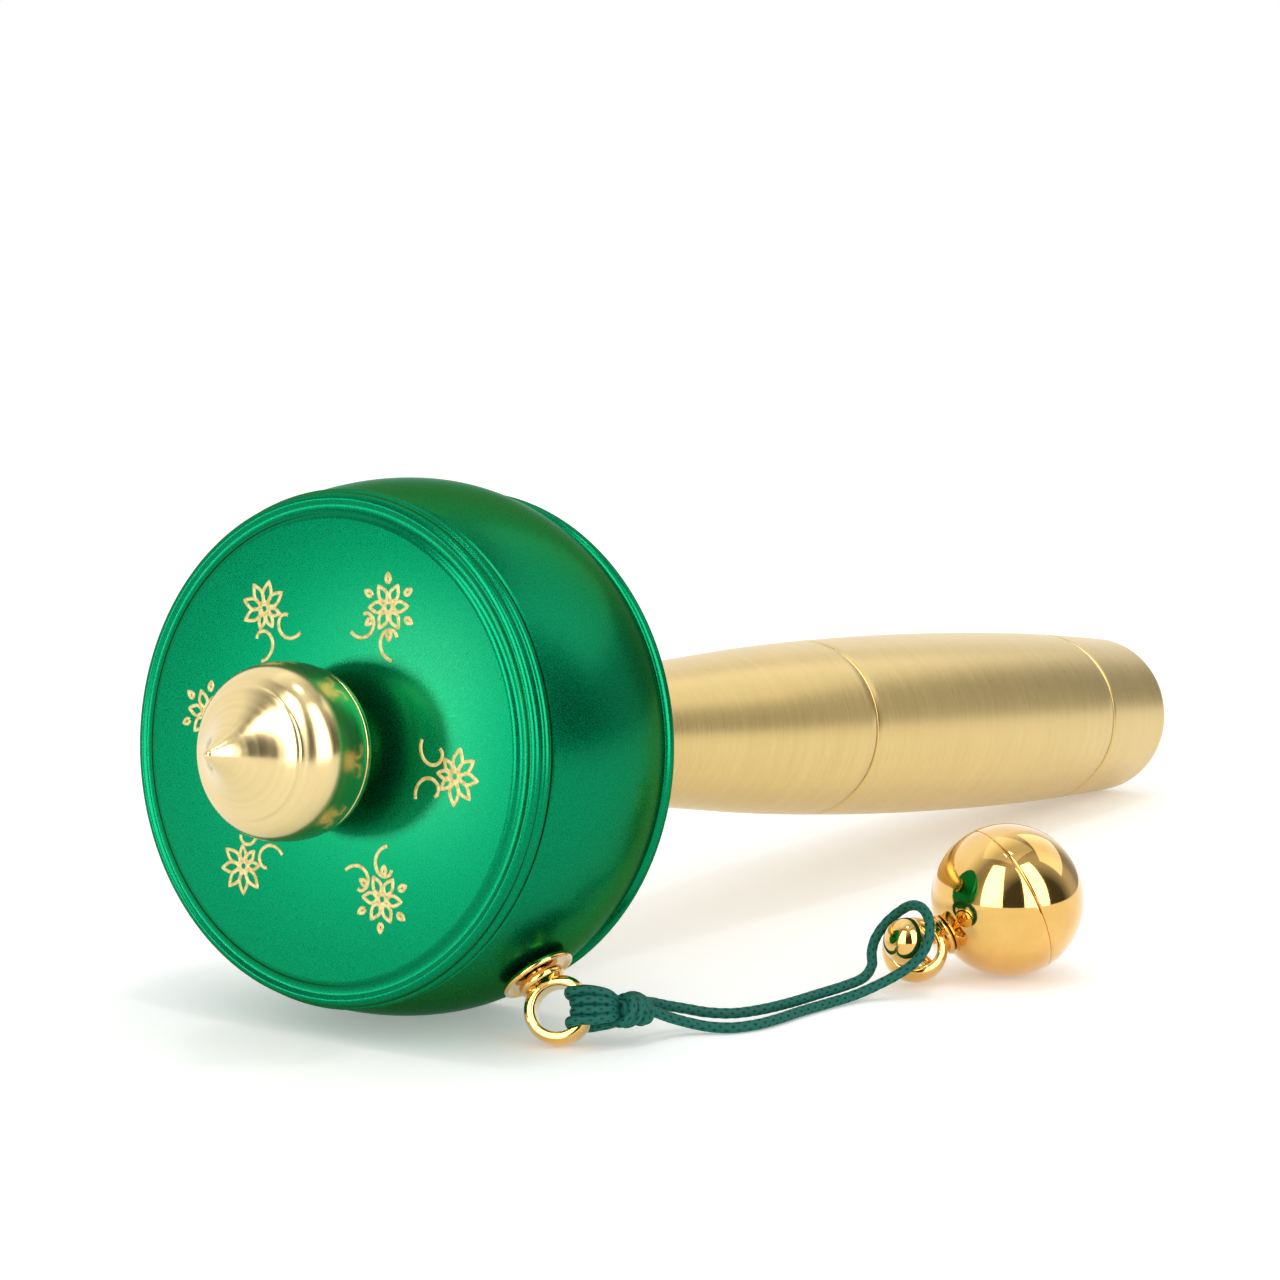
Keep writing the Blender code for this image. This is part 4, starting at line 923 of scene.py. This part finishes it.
def paleTable():
    # Matt white laminate: pale enough to melt into the surroundings, keeps only soft shadows
    made, tree, shader = newMaterial("matWhiteLaminate")
    place = addNode(tree, "ShaderNodeTexCoord")
    fine = addNode(tree, "ShaderNodeTexNoise", {}, {"Scale": 60.0, "Detail": 3.0},
                   {"Vector": place.outputs["Object"]})
    tint = addNode(tree, "ShaderNodeValToRGB", links={"Fac": fine.outputs["Fac"]})
    rampStops(tint, [(0.3, "#f5f5f5"), (0.7, "#f8f8f8")])
    dress(tree, shader, tint.outputs["Color"], Roughness=0.95, Specular_IOR_Level=0.0,
          Emission_Color=(1.0, 1.0, 1.0, 1.0), Emission_Strength=studio["tableGlow"])
    return made


half = studio["table"] / 2
tableMesh = bpy.data.meshes.new("table")
tableCorners = [(-half, -half, 0), (half, -half, 0), (half, half, 0), (-half, half, 0)]
tableMesh.from_pydata(tableCorners, [], [(0, 1, 2, 3)])
tableMesh.materials.append(paleTable())
table = bpy.data.objects.new("table", tableMesh)
bpy.context.collection.objects.link(table)


def areaLight(name, place, aim, wide, high, radiance, shineOnly=False):
    # Area light of the given radiance; its power is radiance x pi x area
    data = bpy.data.lights.new(name, "AREA")
    data.shape = "RECTANGLE"
    data.size, data.size_y = wide, high
    data.energy = radiance * np.pi * wide * high
    lamp = bpy.data.objects.new(name, data)
    bpy.context.collection.objects.link(lamp)
    back = unit(np.array(place) - np.array(aim))
    across = unit(np.cross([0, 0, 1.0], back)) if abs(back[2]) < 0.99 else np.array([1.0, 0, 0])
    turned = np.eye(4)
    turned[:3, 0], turned[:3, 1], turned[:3, 2], turned[:3, 3] = across, np.cross(back, across), back, place
    lamp.matrix_world = Matrix(turned.tolist())
    lamp.visible_diffuse = not shineOnly
    return lamp


for number, (way, far, wide, high, radiance) in enumerate(studio["panels"]):
    place = weightCentre + far * unit([way[0], way[1], 0.0])
    place[2] = high / 2 + 0.01
    aim = [weightCentre[0], weightCentre[1], place[2]]
    areaLight("panel%d" % (number + 1), place, aim, wide, high, radiance, True)
place, wide, high, radiance = studio["lidGlow"]
areaLight("lidGlow", place, (lidCentre[0], lidCentre[1], place[2]), wide, high, radiance, True)
place, wide, high, radiance = studio["back"]
areaLight("highBack", place, lidCentre, wide, high, radiance, True)
place, size, radiance = studio["key"]
areaLight("overheadKey", place, (-0.03, 0.0, 0.0), size, size, radiance)
place, size, radiance = studio["above"]
areaLight("overheadSoft", place, (0.0, 0.0, 0.0), size, size, radiance)

world = bpy.data.worlds.new("studio")
bpy.context.scene.world = world
world.use_nodes = True
sky = world.node_tree
sky.nodes.clear()
ray = addNode(sky, "ShaderNodeLightPath")
where = addNode(sky, "ShaderNodeTexCoord")
# What the metal sees: dark round the camera, brighter behind the part
behind = addNode(sky, "ShaderNodeVectorMath", {"operation": "DOT_PRODUCT"},
                 {1: tuple(float(x) for x in unit([0.35, 0.9, 0.25]))}, {0: where.outputs["Generated"]})
scaled = addNode(sky, "ShaderNodeMapRange", {},
                 {"From Min": -1.0, "From Max": 1.0, "To Min": 0.0, "To Max": 1.0},
                 {"Value": behind.outputs["Value"]})
shade = addNode(sky, "ShaderNodeValToRGB", links={"Fac": scaled.outputs["Result"]})
levels = ((0.22, 0.06), (0.38, 0.5), (0.47, 0.48), (0.56, 0.27), (0.65, 0.3), (0.84, 1.0))
rampStops(shade, [(place, (level, level, level, 1)) for place, level in levels])
shine = addNode(sky, "ShaderNodeMath", {"operation": "MULTIPLY"}, {1: studio["shine"]},
                {0: shade.outputs["Color"]})
matt = addNode(sky, "ShaderNodeMix", {"data_type": "FLOAT"}, {2: studio["white"], 3: studio["soft"]},
               {0: ray.outputs["Is Diffuse Ray"]})
seen = addNode(sky, "ShaderNodeMix", {"data_type": "FLOAT"}, {},
               {0: ray.outputs["Is Glossy Ray"], 2: matt.outputs[0], 3: shine.outputs["Value"]})
glow = addNode(sky, "ShaderNodeBackground", {}, {"Color": (1, 1, 1, 1)}, {"Strength": seen.outputs[0]})
addNode(sky, "ShaderNodeOutputWorld", links={"Surface": glow.outputs["Background"]})
bpy.context.scene.view_settings.view_transform = "Standard"
print("studio set")
